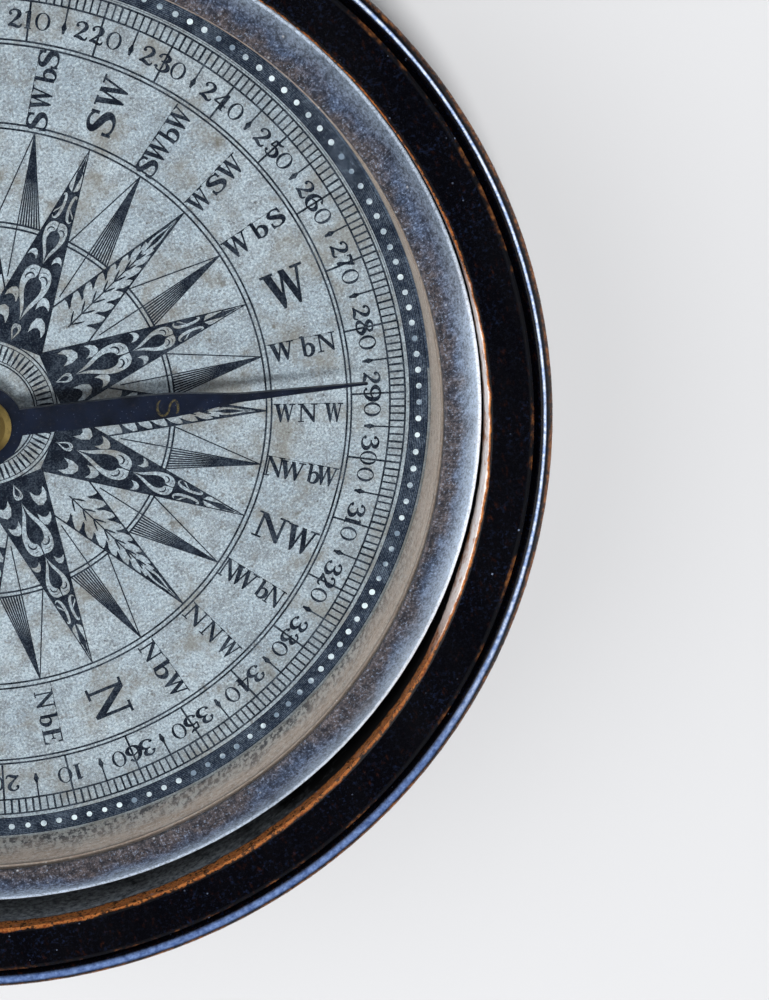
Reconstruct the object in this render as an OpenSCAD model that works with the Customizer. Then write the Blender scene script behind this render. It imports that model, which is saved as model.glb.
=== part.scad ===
// Miners dial: a dry compass in a turned wooden case, with a fixed card, a needle on a steel point,
// a sliding stop that lifts the needle, and a staff socket in the base. Millimetres.
// The origin is the middle of the base, +Z is up and +Y is the north of the card.

/* [Dial] */
// Radius of the card that shows inside the liner
dial_r = 61; // [56:0.5:75]
// Thickness of the paper card
card_t = 0.3; // [0.2:0.1:0.8]
// Thickness of the disc under the card
plate_t = 1.7; // [1.2:0.1:3]

/* [Liner and glass] */
// Wall thickness of the liner ring
liner_t = 1.8; // [1:0.1:3]
// Height of the liner, from the card to the glass
liner_h = 10.1; // [9.8:0.1:14]
// Thickness of the glass
glass_t = 1.5; // [1:0.1:3]

/* [Bowl] */
// Wall thickness of the bowl beside the liner
bowl_wall_t = 2.6; // [1.5:0.1:4]
// Thickness of the bowl floor
bowl_floor_t = 2; // [1.5:0.1:4]
// Height of the space between the bowl floor and the disc under the card
chamber_h = 7.5; // [7.2:0.1:12]
// Width of the ledge that carries the disc
ledge_w = 3.4; // [2.5:0.1:5]
// How far the bowl sits off the middle of its well
bowl_shift = 1.7; // [0:0.01:1.7]
// Azimuth on the card that the bowl is shifted towards, in degrees
bowl_shift_azimuth = 250; // [0:1:359]
// Distance of the bowl screws from the middle of the bowl
bowl_screw_circle_r = 48; // [44:0.5:52]
// Radius of the bowl screws
bowl_screw_r = 1.4; // [1:0.1:1.8]
// Length of the bowl screws
bowl_screw_l = 8; // [5:0.5:11]

/* [Bezel] */
// Thickness of the lip over the glass
lip_t = 0.8; // [0.5:0.1:1.5]
// How far the lip stands back from the inside of the liner
lip_setback = 0.2; // [0:0.05:0.6]
// Thickness of the skirt round the bowl
skirt_t = 1.2; // [0.6:0.1:1.8]
// Height of the skirt
skirt_h = 7; // [4:0.5:12]
// How far the outer edge of the bezel lies below its inner edge
bezel_fall = 2.9; // [1.5:0.1:4]

/* [Case] */
// Thickness of the wood under the bowl
case_floor_t = 14; // [13.5:0.5:20]
// Room round the bezel in the well of the case
well_clear = 1.75; // [1.75:0.05:2.5]
// Width of the flat rim
rim_w = 6.1; // [5:0.1:12]
// How far the rim stands above the bezel
rim_rise = 0.6; // [0:0.1:3]
// Radius of the bead round the rim
bead_r = 1.05; // [1:0.05:2]
// Drop from the rim to the top of the bead
bead_drop = 0.5; // [0.3:0.1:3]
// Gap between the rim and the bead at its widest
quirk_w = 0.6; // [0.1:0.05:1]
// How far the side stands in from the bead
side_inset = 1.5; // [0.8:0.1:2.5]
// Swell of the side at half its height
side_swell = 0.6; // [0:0.1:1.2]
// Radius of the foot moulding
foot_r = 2.4; // [1.5:0.1:3]

/* [Staff socket] */
// Bore of the staff socket
staff_bore_r = 6.35; // [5:0.05:9]
// Depth of the staff socket
staff_bore_l = 12; // [8:0.5:12]
// Wall thickness of the staff socket
staff_wall_t = 2.4; // [1.5:0.1:3]
// Width of the flange round the socket
staff_flange_w = 8; // [6:0.5:12]
// Thickness of that flange
staff_flange_t = 1.8; // [1.6:0.1:3]
// Radius of the socket's screws
staff_screw_r = 1.2; // [0.8:0.1:1.6]
// Length of the socket's screws
staff_screw_l = 8; // [5:0.5:11]

/* [Needle] */
// Azimuth on the card that the needle points to, in degrees
needle_azimuth = 286.4; // [0:0.1:359.9]
// Length of each arm from the pivot to its tip
needle_arm = 51.6; // [42:0.1:52]
// Width of the broad part of an arm
needle_body_w = 3.5; // [2.6:0.1:5]
// Width where the broad part ends
needle_neck_w = 1; // [0.8:0.02:1.6]
// Width at the tip
needle_tip_w = 0.24; // [0.1:0.02:0.4]
// Thickness of the needle
needle_t = 1; // [0.6:0.1:1.2]
// Height of the underside of the needle above the card
needle_rise = 7.4; // [7:0.1:8]
// Distance from the pivot to where the arm starts to narrow
shoulder_start = 16; // [12:0.5:20]
// Distance from the pivot to where it has narrowed
shoulder_end = 36; // [30:0.5:40]
// Radius of the round boss of the needle
needle_boss_r = 5.6; // [4.8:0.1:7]

/* [Cap and point] */
// Depth of the cap below the needle
cap_skirt_h = 2.4; // [2:0.1:3]
// Radius of the cap below the needle
cap_skirt_r = 3.3; // [3:0.1:4]
// Thickness of the riveted head of the cap above the needle
cap_head_t = 0.7; // [0.4:0.1:1]
// Radius of the hollow stone
jewel_r = 1.9; // [1.5:0.1:2.1]
// Radius of the steel point
pin_r = 0.78; // [0.5:0.02:1]
// Radius of the pillar
pillar_r = 2.5; // [2:0.1:2.7]
// How far the pillar stands above the card
pillar_rise = 2.4; // [1:0.1:3.5]
// Distance from the pivot to the balance rider
rider_x = 27; // [20:0.5:29]
// Length of the balance rider along the needle
rider_l = 3.2; // [2:0.1:5]

/* [Lifter] */
// How far the sleeve and the needle are lifted
lift_h = 0.7; // [0.4:0.05:0.75]
// Wall thickness of the sleeve
sleeve_wall_t = 0.9; // [0.6:0.1:1.1]
// Distance from the pivot to the fulcrum of the lever
fulcrum_x = 40; // [36:0.5:46]
// Distance from the pivot to the nose of the lever
nose_x = 27; // [22:0.5:28]
// Width of the lever
lever_w = 5; // [4:0.1:6]
// Thickness of the lever
lever_t = 1.2; // [0.8:0.1:1.4]
// Height of the underside of the lever above the bowl floor
lever_z = 3.9; // [3.7:0.1:4]
// Radius of the rounded nose of the lever
nose_r = 1.4; // [1.2:0.1:1.5]
// Radius of the fulcrum pin
fulcrum_pin_r = 1; // [0.7:0.1:1.2]

/* [Stop] */
// How far the stop slides in
stop_travel = 5; // [3:0.5:6]
// Radius of the sliding rod
rod_r = 2; // [1.8:0.05:2.2]
// Height of the rod above the bowl floor
rod_z = 3.2; // [3.1:0.05:3.4]
// Length of the guide block
guide_l = 4; // [3:0.5:5]
// Length of the free part of the leaf spring
leaf_l = 6.5; // [5:0.5:8]
// Thickness of the leaf spring
leaf_t = 0.4; // [0.2:0.1:0.6]
// Radius of the bush in the side of the case
bush_r = 4; // [3.2:0.1:6]
// Radius of the bush flange
bush_flange_r = 6.5; // [6:0.1:8]
// Thickness of the bush flange
bush_flange_t = 1.2; // [0.8:0.1:2]
// Radius of the knob
knob_r = 5; // [4:0.1:7]
// Length of the knob
knob_l = 7; // [5:0.5:10]

/* [Fits] */
// Radial clearance of pieces that turn or slide
run_fit = 0.06; // [0.03:0.01:0.09]
// Clearance of pieces that are seated in each other
seat_fit = 0.02; // [0.01:0.01:0.04]
// Gap between moving pieces that meet at rest
rest_gap = 0.1; // [0.06:0.01:0.15]

/* [Hidden] */
$fn = 96;
eps = 0.01;

// Levels, from the base up
bowl_z = case_floor_t;
floor_z = bowl_z + bowl_floor_t;
plate_z = floor_z + chamber_h;
card_z = plate_z + plate_t;
dial_z = card_z + card_t;
glass_z = dial_z + liner_h;
lip_z = glass_z + glass_t;
bezel_rebate = 0.9;
bowl_top_z = glass_z - bezel_rebate;
bezel_z = lip_z + lip_t;
case_h = bezel_z + rim_rise;

// Radii, from the dial out
liner_r = dial_r + liner_t;
bowl_in_r = liner_r + seat_fit;
chamber_r = bowl_in_r - ledge_w;
bowl_r = bowl_in_r + bowl_wall_t;
skirt_in_r = bowl_r + seat_fit;
bezel_r = skirt_in_r + skirt_t;
well_r = bezel_r + well_clear;
rim_r = well_r + rim_w;
bead_x = rim_r + quirk_w + bead_r;
case_r = bead_x + bead_r;
side_r = case_r - side_inset;

// Place of the bowl in its well
bowl_x = bowl_shift * sin(bowl_shift_azimuth);
bowl_y = bowl_shift * cos(bowl_shift_azimuth);

// Needle and cap
needle_z = dial_z + needle_rise;
cap_z = needle_z - cap_skirt_h;
stem_r = 2.9;
cavity_r = jewel_r + seat_fit;
jewel_t = 1.6;
jewel_z = needle_z + needle_t - 0.3 - jewel_t;
dimple_depth = 1.1;
pin_tip_z = jewel_z + dimple_depth - run_fit;

// Sleeve and pillar
sleeve_in_r = pillar_r + run_fit;
sleeve_r = sleeve_in_r + sleeve_wall_t;
sleeve_flange_r = sleeve_r + 2;
sleeve_flange_t = 1.1;
sleeve_gap = 1.3 * rest_gap;
sleeve_z = floor_z + lever_z + lever_t + sleeve_gap;
sleeve_top_z = cap_z - rest_gap;
plate_hole_r = sleeve_r + 0.5;
pillar_top_z = dial_z + pillar_rise;
pillar_flange_r = 5;
pillar_flange_t = 1.2;
rivet_r = 2;
pin_seat_l = 5;

// Lever, its ramp and its fulcrum
lever_lift_angle = asin(lift_h / fulcrum_x);
nose_rise = (fulcrum_x + nose_x) * sin(lever_lift_angle);
ramp_angle = atan(nose_rise / stop_travel);
nose_drop = 1.5;
nose_z = floor_z + lever_z + nose_r - nose_drop;
ramp_at_nose_z = nose_z - (nose_r + rest_gap / 2) / cos(ramp_angle);
land_l = 1.7;
tongue_l = 3.5;
eye_r = sleeve_flange_r + 1;
eye_hole_r = sleeve_flange_r - 1.4;
knuckle_r = fulcrum_pin_r + 1;
fulcrum_z = floor_z + lever_z + lever_t / 2;
ear_t = 1.5;
ear_gap = 0.15;
bracket_base_t = 1.2;
bracket_half_l = 7;
bracket_screw_x = 5;

// Sliding rod, its guide and its collar, along +X from the pivot
slide_z = floor_z + rod_z;
round_x = nose_x + stop_travel + nose_r + 0.5;
guide_x = round_x + 0.4;
guide_half_w = 5;
guide_foot_w = 9;
guide_foot_t = 1.5;
guide_screw_y = 7;
guide_top_z = slide_z + rod_r + 1;
leaf_x = guide_x + guide_l;
leaf_screw_y = 3.5;
leaf_half_w = 1.5;
leaf_foot_half_w = 4.6;
collar_r = rod_r + 0.9;
collar_x = leaf_x + leaf_l + stop_travel + 0.4;
collar_end_x = chamber_r - 0.4;
small_screw_r = 0.8;
small_head_h = 0.8;
leaf_screw_r = 0.6;
leaf_head_h = 0.5;
leaf_screw_l = 1.8;

// Bush, rod end and knob, along +X from the middle of the case
spot_x = side_r - 0.8;
knob_x = spot_x + bush_flange_t + stop_travel + rest_gap;
knob_bore_l = knob_l - 2;
flute_n = 24;
flute_r = 0.45;

// Socket in the base
staff_tube_r = staff_bore_r + staff_wall_t;
staff_flange_r = staff_tube_r + staff_flange_w;
staff_screw_circle_r = staff_tube_r + staff_flange_w / 2;

WOOD = [0.10, 0.06, 0.06];
PEWTER = [0.55, 0.56, 0.58];
TAN = [0.55, 0.47, 0.40];
PAPER = [0.72, 0.75, 0.76];
BRASS = [0.72, 0.56, 0.28];
BLUED = [0.12, 0.15, 0.25];
STEEL = [0.50, 0.50, 0.52];
GLASS = [0.80, 0.88, 0.90, 0.25];
AGATE = [0.55, 0.25, 0.18];

// Points along an arc of a circle
function arc_points(centre, radius, from, to, steps) =
    [for (i = [0:steps]) let (a = from + (to - from) * i / steps)
        centre + radius * [cos(a), sin(a)]];

// Puts a piece at the middle of the bowl
module in_bowl() {
    translate([bowl_x, bowl_y, 0]) children();
}

// Turns a cylinder's length from +Z to +X
module along_x(x, z) {
    translate([x, 0, z]) rotate([0, 90, 0]) children();
}

// A screw with a countersunk head whose top is at z = 0, and its shank below
module countersunk_screw(radius, length) {
    head_r = 2 * radius;
    translate([0, 0, -radius]) cylinder(r1 = radius, r2 = head_r, h = radius);
    translate([0, 0, -length]) cylinder(r = radius, h = length);
}

// The space that such a screw needs
module countersunk_hole(radius, length) {
    countersunk_screw(radius + seat_fit, length + seat_fit);
}

// A screw with a flat head that sits on z = 0
module cheese_screw(radius, length, head_h) {
    cylinder(r = 1.8 * radius, h = head_h);
    translate([0, 0, -length]) cylinder(r = radius, h = length + eps);
}

// Places of the three screws of the bowl, and of the socket
module at_bowl_screws(z) {
    for (a = [90, 210, 330]) rotate(a) translate([bowl_screw_circle_r, 0, z]) children();
}

module at_staff_screws() {
    for (a = [30, 150, 270]) rotate(a) translate([staff_screw_circle_r, 0, 0]) mirror([0, 0, 1]) children();
}

// Places of the screws of the fulcrum bracket and of the slide guide, on the bowl floor
module at_bracket_screws(z) {
    for (side = [-1, 1]) translate([-fulcrum_x + side * bracket_screw_x, 0, z]) children();
}

module at_guide_screws(z) {
    for (side = [-1, 1]) translate([guide_x + guide_l / 2, side * guide_screw_y, z]) children();
}

module at_leaf_screws(z) {
    for (side = [-1, 1]) translate([guide_x + guide_l / 2, side * leaf_screw_y, z]) children();
}

// Outside of the turned case as a half section
module case_section() {
    bead_z = case_h - bead_drop - bead_r;
    quirk_z = bead_z - bead_r;
    side_top_z = quirk_z - 0.8;
    foot_z = 1.1 + foot_r;
    side_foot_z = foot_z + foot_r;
    side_h = side_top_z - side_foot_z;
    swell = [for (i = [0:12]) [side_r + side_swell * sin(180 * i / 12), side_foot_z + side_h * i / 12]];
    polygon(concat(
        [[0, 0], [side_r - 2.5, 0], [side_r - 1.6, 1.1]],
        arc_points([side_r - 0.9, foot_z], foot_r, -70, 60, 12),
        swell,
        [[side_r, quirk_z]],
        arc_points([bead_x, bead_z], bead_r, -75, 180, 24),
        [[rim_r, quirk_z], [rim_r, case_h - 0.4], [rim_r - 0.4, case_h],
         [well_r + 0.5, case_h], [well_r, case_h - 0.5],
         [well_r, bowl_z], [0, bowl_z]]));
}

module case_body() {
    color(WOOD) difference() {
        rotate_extrude() case_section();
        translate([0, 0, -eps]) cylinder(r = staff_tube_r + seat_fit, h = staff_bore_l + eps);
        translate([0, 0, -eps]) cylinder(r = staff_flange_r + seat_fit, h = staff_flange_t + eps);
        at_staff_screws() translate([0, 0, -staff_screw_l - seat_fit])
            cylinder(r = staff_screw_r + seat_fit, h = staff_screw_l);
        in_bowl() at_bowl_screws(floor_z) translate([0, 0, -bowl_screw_l - seat_fit])
            cylinder(r = bowl_screw_r + seat_fit, h = bowl_screw_l);
        translate([0, bowl_y, 0]) {
            along_x(well_r - 1, slide_z) cylinder(r = bush_r + seat_fit, h = case_r - well_r);
            along_x(spot_x, slide_z) cylinder(r = bush_flange_r + 0.5, h = case_r);
        }
    }
}

module staff_bush() {
    color(BRASS) difference() {
        union() {
            cylinder(r = staff_flange_r, h = staff_flange_t);
            cylinder(r = staff_tube_r, h = staff_bore_l);
        }
        translate([0, 0, -eps]) cylinder(r = staff_bore_r, h = staff_bore_l + 2 * eps);
        at_staff_screws() countersunk_hole(staff_screw_r, staff_screw_l);
    }
}

module staff_bush_screws() {
    color(BRASS) at_staff_screws() countersunk_screw(staff_screw_r, staff_screw_l);
}

// Cast bowl: a floor, a thick lower wall with the ledge on it, and a thinner wall beside the liner
module compass_bowl() {
    corner_r = 3;
    color(PEWTER) in_bowl() difference() {
        rotate_extrude() polygon(concat(
            [[0, bowl_z], [bowl_r - corner_r, bowl_z]],
            arc_points([bowl_r - corner_r, bowl_z + corner_r], corner_r, -80, 0, 8),
            [[bowl_r, bowl_top_z], [bowl_in_r, bowl_top_z], [bowl_in_r, plate_z], [chamber_r, plate_z],
             [chamber_r, floor_z], [0, floor_z]]));
        translate([0, 0, bowl_z - eps]) cylinder(r = rivet_r + seat_fit, h = bowl_floor_t + 2 * eps);
        at_bowl_screws(floor_z) countersunk_hole(bowl_screw_r, bowl_screw_l);
        at_bracket_screws(bowl_z - eps) cylinder(r = small_screw_r + seat_fit, h = bowl_floor_t + 2 * eps);
        at_guide_screws(bowl_z - eps) cylinder(r = small_screw_r + seat_fit, h = bowl_floor_t + 2 * eps);
        along_x(chamber_r - 1, slide_z) cylinder(r = rod_r + 0.3, h = bowl_r - chamber_r + 2);
    }
}

module bowl_screws() {
    color(BRASS) in_bowl() at_bowl_screws(floor_z) countersunk_screw(bowl_screw_r, bowl_screw_l);
}

// Bezel: a lip over the glass whose top falls in a long curve to the outer edge, a body that sits
// on the bowl, and a skirt
module bezel_ring() {
    in_r = dial_r + lip_setback;
    edge_r = 0.5;
    top_w = bezel_r - edge_r - in_r - edge_r;
    fall_z = bezel_z - bezel_fall;
    crown = [for (i = [0:16]) let (t = i / 16)
        [in_r + edge_r + top_w * t, bezel_z - bezel_fall * pow(t, 2.2)]];
    color(PEWTER) in_bowl() rotate_extrude() polygon(concat(
        [[in_r, lip_z]],
        arc_points([in_r + edge_r, bezel_z - edge_r], edge_r, 180, 110, 6),
        crown,
        arc_points([bezel_r - edge_r, fall_z - edge_r], edge_r, 50, 0, 5),
        [[bezel_r, bowl_top_z - skirt_h], [skirt_in_r, bowl_top_z - skirt_h], [skirt_in_r, bowl_top_z],
         [bowl_in_r, bowl_top_z], [bowl_in_r, lip_z]]));
}

module glass() {
    color(GLASS) in_bowl() translate([0, 0, glass_z]) cylinder(r = liner_r, h = glass_t);
}

module liner_ring() {
    color(TAN) in_bowl() translate([0, 0, dial_z]) difference() {
        cylinder(r = liner_r, h = liner_h);
        translate([0, 0, -eps]) cylinder(r = dial_r, h = liner_h + 2 * eps);
    }
}

// A disc with the hole for the sleeve, used for the card and for the plate under it
module pierced_disc(z, thickness) {
    in_bowl() translate([0, 0, z]) difference() {
        cylinder(r = liner_r, h = thickness);
        translate([0, 0, -eps]) cylinder(r = plate_hole_r, h = thickness + 2 * eps);
    }
}

module compass_card() {
    color(PAPER) pierced_disc(card_z, card_t);
}

module card_plate() {
    color(BRASS) pierced_disc(plate_z, plate_t);
}

module pivot_pillar() {
    color(BRASS) in_bowl() difference() {
        rotate_extrude() polygon([
            [0, bowl_z], [rivet_r, bowl_z], [rivet_r, floor_z], [pillar_flange_r, floor_z],
            [pillar_flange_r, floor_z + pillar_flange_t - 0.3], [pillar_flange_r - 0.3, floor_z + pillar_flange_t],
            [pillar_r, floor_z + pillar_flange_t], [pillar_r, pillar_top_z - 0.6],
            [pillar_r - 0.6, pillar_top_z], [0, pillar_top_z]]);
        translate([0, 0, pillar_top_z - pin_seat_l])
            cylinder(r = pin_r + seat_fit, h = pin_seat_l + eps);
    }
}

module pivot_pin() {
    tip_r = 0.1;
    color(STEEL) in_bowl() rotate_extrude() polygon([
        [0, pillar_top_z - pin_seat_l], [pin_r, pillar_top_z - pin_seat_l],
        [pin_r, pin_tip_z - 2.2], [tip_r, pin_tip_z - 0.06], [0, pin_tip_z]]);
}

// Sleeve round the pillar, with the flange that the lever raises
module lifter_sleeve() {
    color(BRASS) in_bowl() rotate_extrude() polygon([
        [sleeve_in_r, sleeve_z], [sleeve_flange_r, sleeve_z],
        [sleeve_flange_r, sleeve_z + sleeve_flange_t], [sleeve_r, sleeve_z + sleeve_flange_t],
        [sleeve_r, sleeve_top_z - 0.3], [sleeve_r - 0.3, sleeve_top_z], [sleeve_in_r, sleeve_top_z]]);
}

// Lever: a flat bar with an eye round the pillar, a knuckle at one end and a rounded nose at the other
module lifter_lever() {
    nose_w = lever_w - 1.4;
    color(BRASS) in_bowl() difference() {
        union() {
            translate([0, 0, floor_z + lever_z]) linear_extrude(lever_t) difference() {
                union() {
                    polygon([[-fulcrum_x, -lever_w / 2], [0, -lever_w / 2 - 0.8],
                        [nose_x + nose_r, -nose_w / 2], [nose_x + nose_r, nose_w / 2],
                        [0, lever_w / 2 + 0.8], [-fulcrum_x, lever_w / 2]]);
                    circle(r = eye_r);
                }
                circle(r = eye_hole_r);
            }
            translate([-fulcrum_x, lever_w / 2, fulcrum_z]) rotate([90, 0, 0]) cylinder(r = knuckle_r, h = lever_w);
            translate([nose_x, nose_w / 2, nose_z]) rotate([90, 0, 0]) cylinder(r = nose_r, h = nose_w);
        }
        translate([-fulcrum_x, lever_w, fulcrum_z]) rotate([90, 0, 0])
            cylinder(r = fulcrum_pin_r + run_fit, h = 2 * lever_w);
    }
}

// Bracket: a base with two rounded ears that hold the pin
module fulcrum_bracket() {
    ear_y = lever_w / 2 + ear_gap;
    half_w = ear_y + ear_t;
    color(BRASS) in_bowl() translate([-fulcrum_x, 0, 0]) difference() {
        union() {
            translate([-bracket_half_l, -half_w, floor_z]) cube([2 * bracket_half_l, 2 * half_w, bracket_base_t]);
            for (side = [-1, 1]) translate([0, side * (ear_y + ear_t / 2) + ear_t / 2, 0]) rotate([90, 0, 0]) {
                translate([0, fulcrum_z, 0]) cylinder(r = knuckle_r, h = ear_t);
                translate([-knuckle_r, floor_z, 0]) cube([2 * knuckle_r, fulcrum_z - floor_z, ear_t]);
            }
        }
        translate([0, half_w + 1, fulcrum_z]) rotate([90, 0, 0])
            cylinder(r = fulcrum_pin_r + seat_fit, h = 2 * half_w + 2);
        for (side = [-1, 1]) translate([side * bracket_screw_x, 0, floor_z - eps])
            cylinder(r = small_screw_r + seat_fit, h = bracket_base_t + 2 * eps);
    }
}

module fulcrum_pin() {
    half_l = lever_w / 2 + ear_gap + ear_t + 0.4;
    color(STEEL) in_bowl() translate([-fulcrum_x, half_l, fulcrum_z]) rotate([90, 0, 0])
        cylinder(r = fulcrum_pin_r, h = 2 * half_l);
}

// Guide: a block bored for the rod, on a foot with two screws
module slide_guide() {
    color(BRASS) in_bowl() difference() {
        union() {
            translate([guide_x, -guide_half_w, floor_z]) cube([guide_l, 2 * guide_half_w, guide_top_z - floor_z]);
            translate([guide_x, -guide_foot_w, floor_z]) cube([guide_l, 2 * guide_foot_w, guide_foot_t]);
        }
        along_x(guide_x - 1, slide_z) cylinder(r = rod_r + run_fit, h = guide_l + 2);
        at_guide_screws(floor_z - eps) cylinder(r = small_screw_r + seat_fit, h = guide_foot_t + 2 * eps);
        at_leaf_screws(guide_top_z - leaf_screw_l - 0.2) cylinder(r = leaf_screw_r + seat_fit, h = 3);
    }
}

// Leaf spring: a foot on the guide and a tongue that dips to the top of the rod
module slide_spring() {
    dip = guide_top_z - slide_z - rod_r - run_fit;
    dip_x = leaf_l / 1.3;
    steps = 13;
    under = [for (i = [0:steps]) let (t = 1.3 * i / steps)
        [leaf_x + dip_x * t, guide_top_z - dip * (1 - cos(180 * t)) / 2]];
    over = [for (i = [steps:-1:0]) under[i] + [0, leaf_t]];
    color(STEEL) in_bowl() difference() {
        union() {
            translate([guide_x, -leaf_foot_half_w, guide_top_z]) cube([guide_l, 2 * leaf_foot_half_w, leaf_t]);
            translate([0, leaf_half_w, 0]) rotate([90, 0, 0]) linear_extrude(2 * leaf_half_w)
                polygon(concat([[leaf_x - 1, guide_top_z]], under, over, [[leaf_x - 1, guide_top_z + leaf_t]]));
        }
        at_leaf_screws(guide_top_z - eps) cylinder(r = leaf_screw_r + seat_fit, h = leaf_t + 2 * eps);
    }
}

// The small screws of the bracket, the guide and the leaf
module bracket_screws() {
    color(BRASS) in_bowl() {
        at_bracket_screws(floor_z + bracket_base_t) cheese_screw(small_screw_r, bracket_base_t + bowl_floor_t, small_head_h);
        at_guide_screws(floor_z + guide_foot_t) cheese_screw(small_screw_r, guide_foot_t + bowl_floor_t, small_head_h);
        at_leaf_screws(guide_top_z + leaf_t) cheese_screw(leaf_screw_r, leaf_t + leaf_screw_l, leaf_head_h);
    }
}

// Bush in the side of the case, for the rod
module slide_bush() {
    color(BRASS) translate([0, bowl_y, 0]) difference() {
        union() {
            along_x(well_r + 0.1, slide_z) cylinder(r = bush_r, h = spot_x - well_r);
            along_x(spot_x, slide_z) cylinder(r = bush_flange_r, h = bush_flange_t);
        }
        along_x(well_r - 1, slide_z) cylinder(r = rod_r + run_fit, h = spot_x - well_r + bush_flange_t + 2);
    }
}

// Rod with a ramp at its inner end and a collar inside the bowl wall
module stop_slide() {
    tip_x = nose_x - tongue_l;
    land_z = ramp_at_nose_z - land_l * tan(ramp_angle);
    ramp_end_z = ramp_at_nose_z + (round_x - nose_x) * tan(ramp_angle);
    over_z = slide_z + 2 * rod_r;
    end_x = knob_x - bowl_x + knob_bore_l;
    color(STEEL) in_bowl() difference() {
        union() {
            along_x(tip_x, slide_z) cylinder(r = rod_r, h = end_x - tip_x);
            along_x(collar_x, slide_z) cylinder(r = collar_r, h = collar_end_x - collar_x);
        }
        translate([0, 2 * rod_r, 0]) rotate([90, 0, 0]) linear_extrude(4 * rod_r)
            polygon([[tip_x - 1, land_z], [nose_x - land_l, land_z], [round_x, ramp_end_z],
                [round_x, over_z], [tip_x - 1, over_z]]);
    }
}

// Knob with a fluted edge, a neck and a blind bore for the rod
module stop_knob() {
    color(BRASS) translate([knob_x, bowl_y, slide_z]) rotate([0, 90, 0]) difference() {
        rotate_extrude() polygon([
            [0, 0], [knob_r - 1.6, 0], [knob_r - 1.6, 1.4], [knob_r - 0.4, 1.4], [knob_r, 1.8],
            [knob_r, knob_l - 0.8], [knob_r - 0.8, knob_l], [0, knob_l]]);
        translate([0, 0, -eps]) cylinder(r = rod_r + seat_fit, h = knob_bore_l + eps);
        for (i = [0:flute_n - 1]) rotate(360 * i / flute_n) translate([knob_r + 0.1, 0, 1])
            cylinder(r = flute_r, h = knob_l);
    }
}

// Outline of one arm of the needle: broad, narrowed by a shoulder, then a long taper to the tip
function arm_half_width(r) =
    r < shoulder_start ? needle_body_w / 2
    : r < shoulder_end
        ? let (t = pow((r - shoulder_start) / (shoulder_end - shoulder_start), 1.8))
            (needle_neck_w + (needle_body_w - needle_neck_w) * (1 + cos(180 * t)) / 2) / 2
        : let (t = (r - shoulder_end) / (needle_arm - shoulder_end))
            (needle_neck_w + (needle_tip_w - needle_neck_w) * t) / 2;

module needle_outline() {
    steps = 20;
    shoulder = [for (i = [0:steps]) shoulder_start + (shoulder_end - shoulder_start) * i / steps];
    lower = concat([for (r = concat(shoulder, [needle_arm - 0.2])) [r, -arm_half_width(r)]], [[needle_arm, 0]]);
    count = len(lower);
    upper = [for (i = [count - 2:-1:0]) [lower[i].x, -lower[i].y]];
    right = concat(lower, upper);
    polygon(concat(right, [for (p = right) -p]));
}

// Turns a piece from +X to where the needle points
module on_needle() {
    in_bowl() rotate(90 - needle_azimuth) children();
}

module needle_bar() {
    color(BLUED) on_needle() translate([0, 0, needle_z]) linear_extrude(needle_t) difference() {
        union() {
            needle_outline();
            circle(r = needle_boss_r);
        }
        circle(r = stem_r + seat_fit);
    }
}

// Cap: a skirt and a shoulder under the needle, a stem through it and a riveted head on top
module needle_cap() {
    shoulder_t = 0.9;
    shoulder_r = needle_boss_r - 0.9;
    head_r = needle_boss_r - 1.6;
    top_z = needle_z + needle_t;
    color(BRASS) on_needle() difference() {
        rotate_extrude() polygon([
            [0, cap_z], [cap_skirt_r - 0.2, cap_z], [cap_skirt_r, cap_z + 0.2],
            [cap_skirt_r, needle_z - shoulder_t], [shoulder_r, needle_z - shoulder_t],
            [shoulder_r, needle_z], [stem_r, needle_z], [stem_r, top_z], [head_r, top_z],
            [head_r, top_z + cap_head_t / 2], [head_r - 0.8, top_z + cap_head_t], [0, top_z + cap_head_t]]);
        translate([0, 0, cap_z - eps]) cylinder(r = cavity_r, h = jewel_z + jewel_t - cap_z + eps);
    }
}

// Hollow stone: a short cylinder with a conical dimple that sits on the point
module cap_jewel() {
    mouth_r = 1.3;
    color(AGATE) in_bowl() rotate_extrude() polygon([
        [mouth_r, jewel_z], [jewel_r, jewel_z], [jewel_r, jewel_z + jewel_t],
        [0, jewel_z + jewel_t], [0, jewel_z + dimple_depth]]);
}

// Rider: a strip of brass folded round one arm
module balance_rider() {
    strip_t = 0.5;
    slot_w = 2 * arm_half_width(rider_x - rider_l / 2) + 2 * seat_fit;
    slot_h = needle_t + 2 * seat_fit;
    color(BRASS) on_needle() translate([-rider_x - rider_l / 2, 0, needle_z - seat_fit]) difference() {
        translate([0, -slot_w / 2 - strip_t, -strip_t]) cube([rider_l, slot_w + 2 * strip_t, slot_h + 2 * strip_t]);
        translate([-1, -slot_w / 2, 0]) cube([rider_l + 2, slot_w, slot_h]);
    }
}

case_body();
staff_bush();
staff_bush_screws();
compass_bowl();
bowl_screws();
bezel_ring();
glass();
liner_ring();
compass_card();
card_plate();
pivot_pillar();
pivot_pin();
fulcrum_bracket();
fulcrum_pin();
slide_guide();
slide_spring();
bracket_screws();
slide_bush();
stop_slide();
stop_knob();
lifter_lever();
lifter_sleeve();
needle_bar();
needle_cap();
cap_jewel();
balance_rider();
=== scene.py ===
"""Looks of the miners dial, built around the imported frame. Metres, in the frame of the CAD."""
import math
import random

import bpy
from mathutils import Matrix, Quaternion, Vector
from mathutils.geometry import tessellate_polygon


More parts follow.
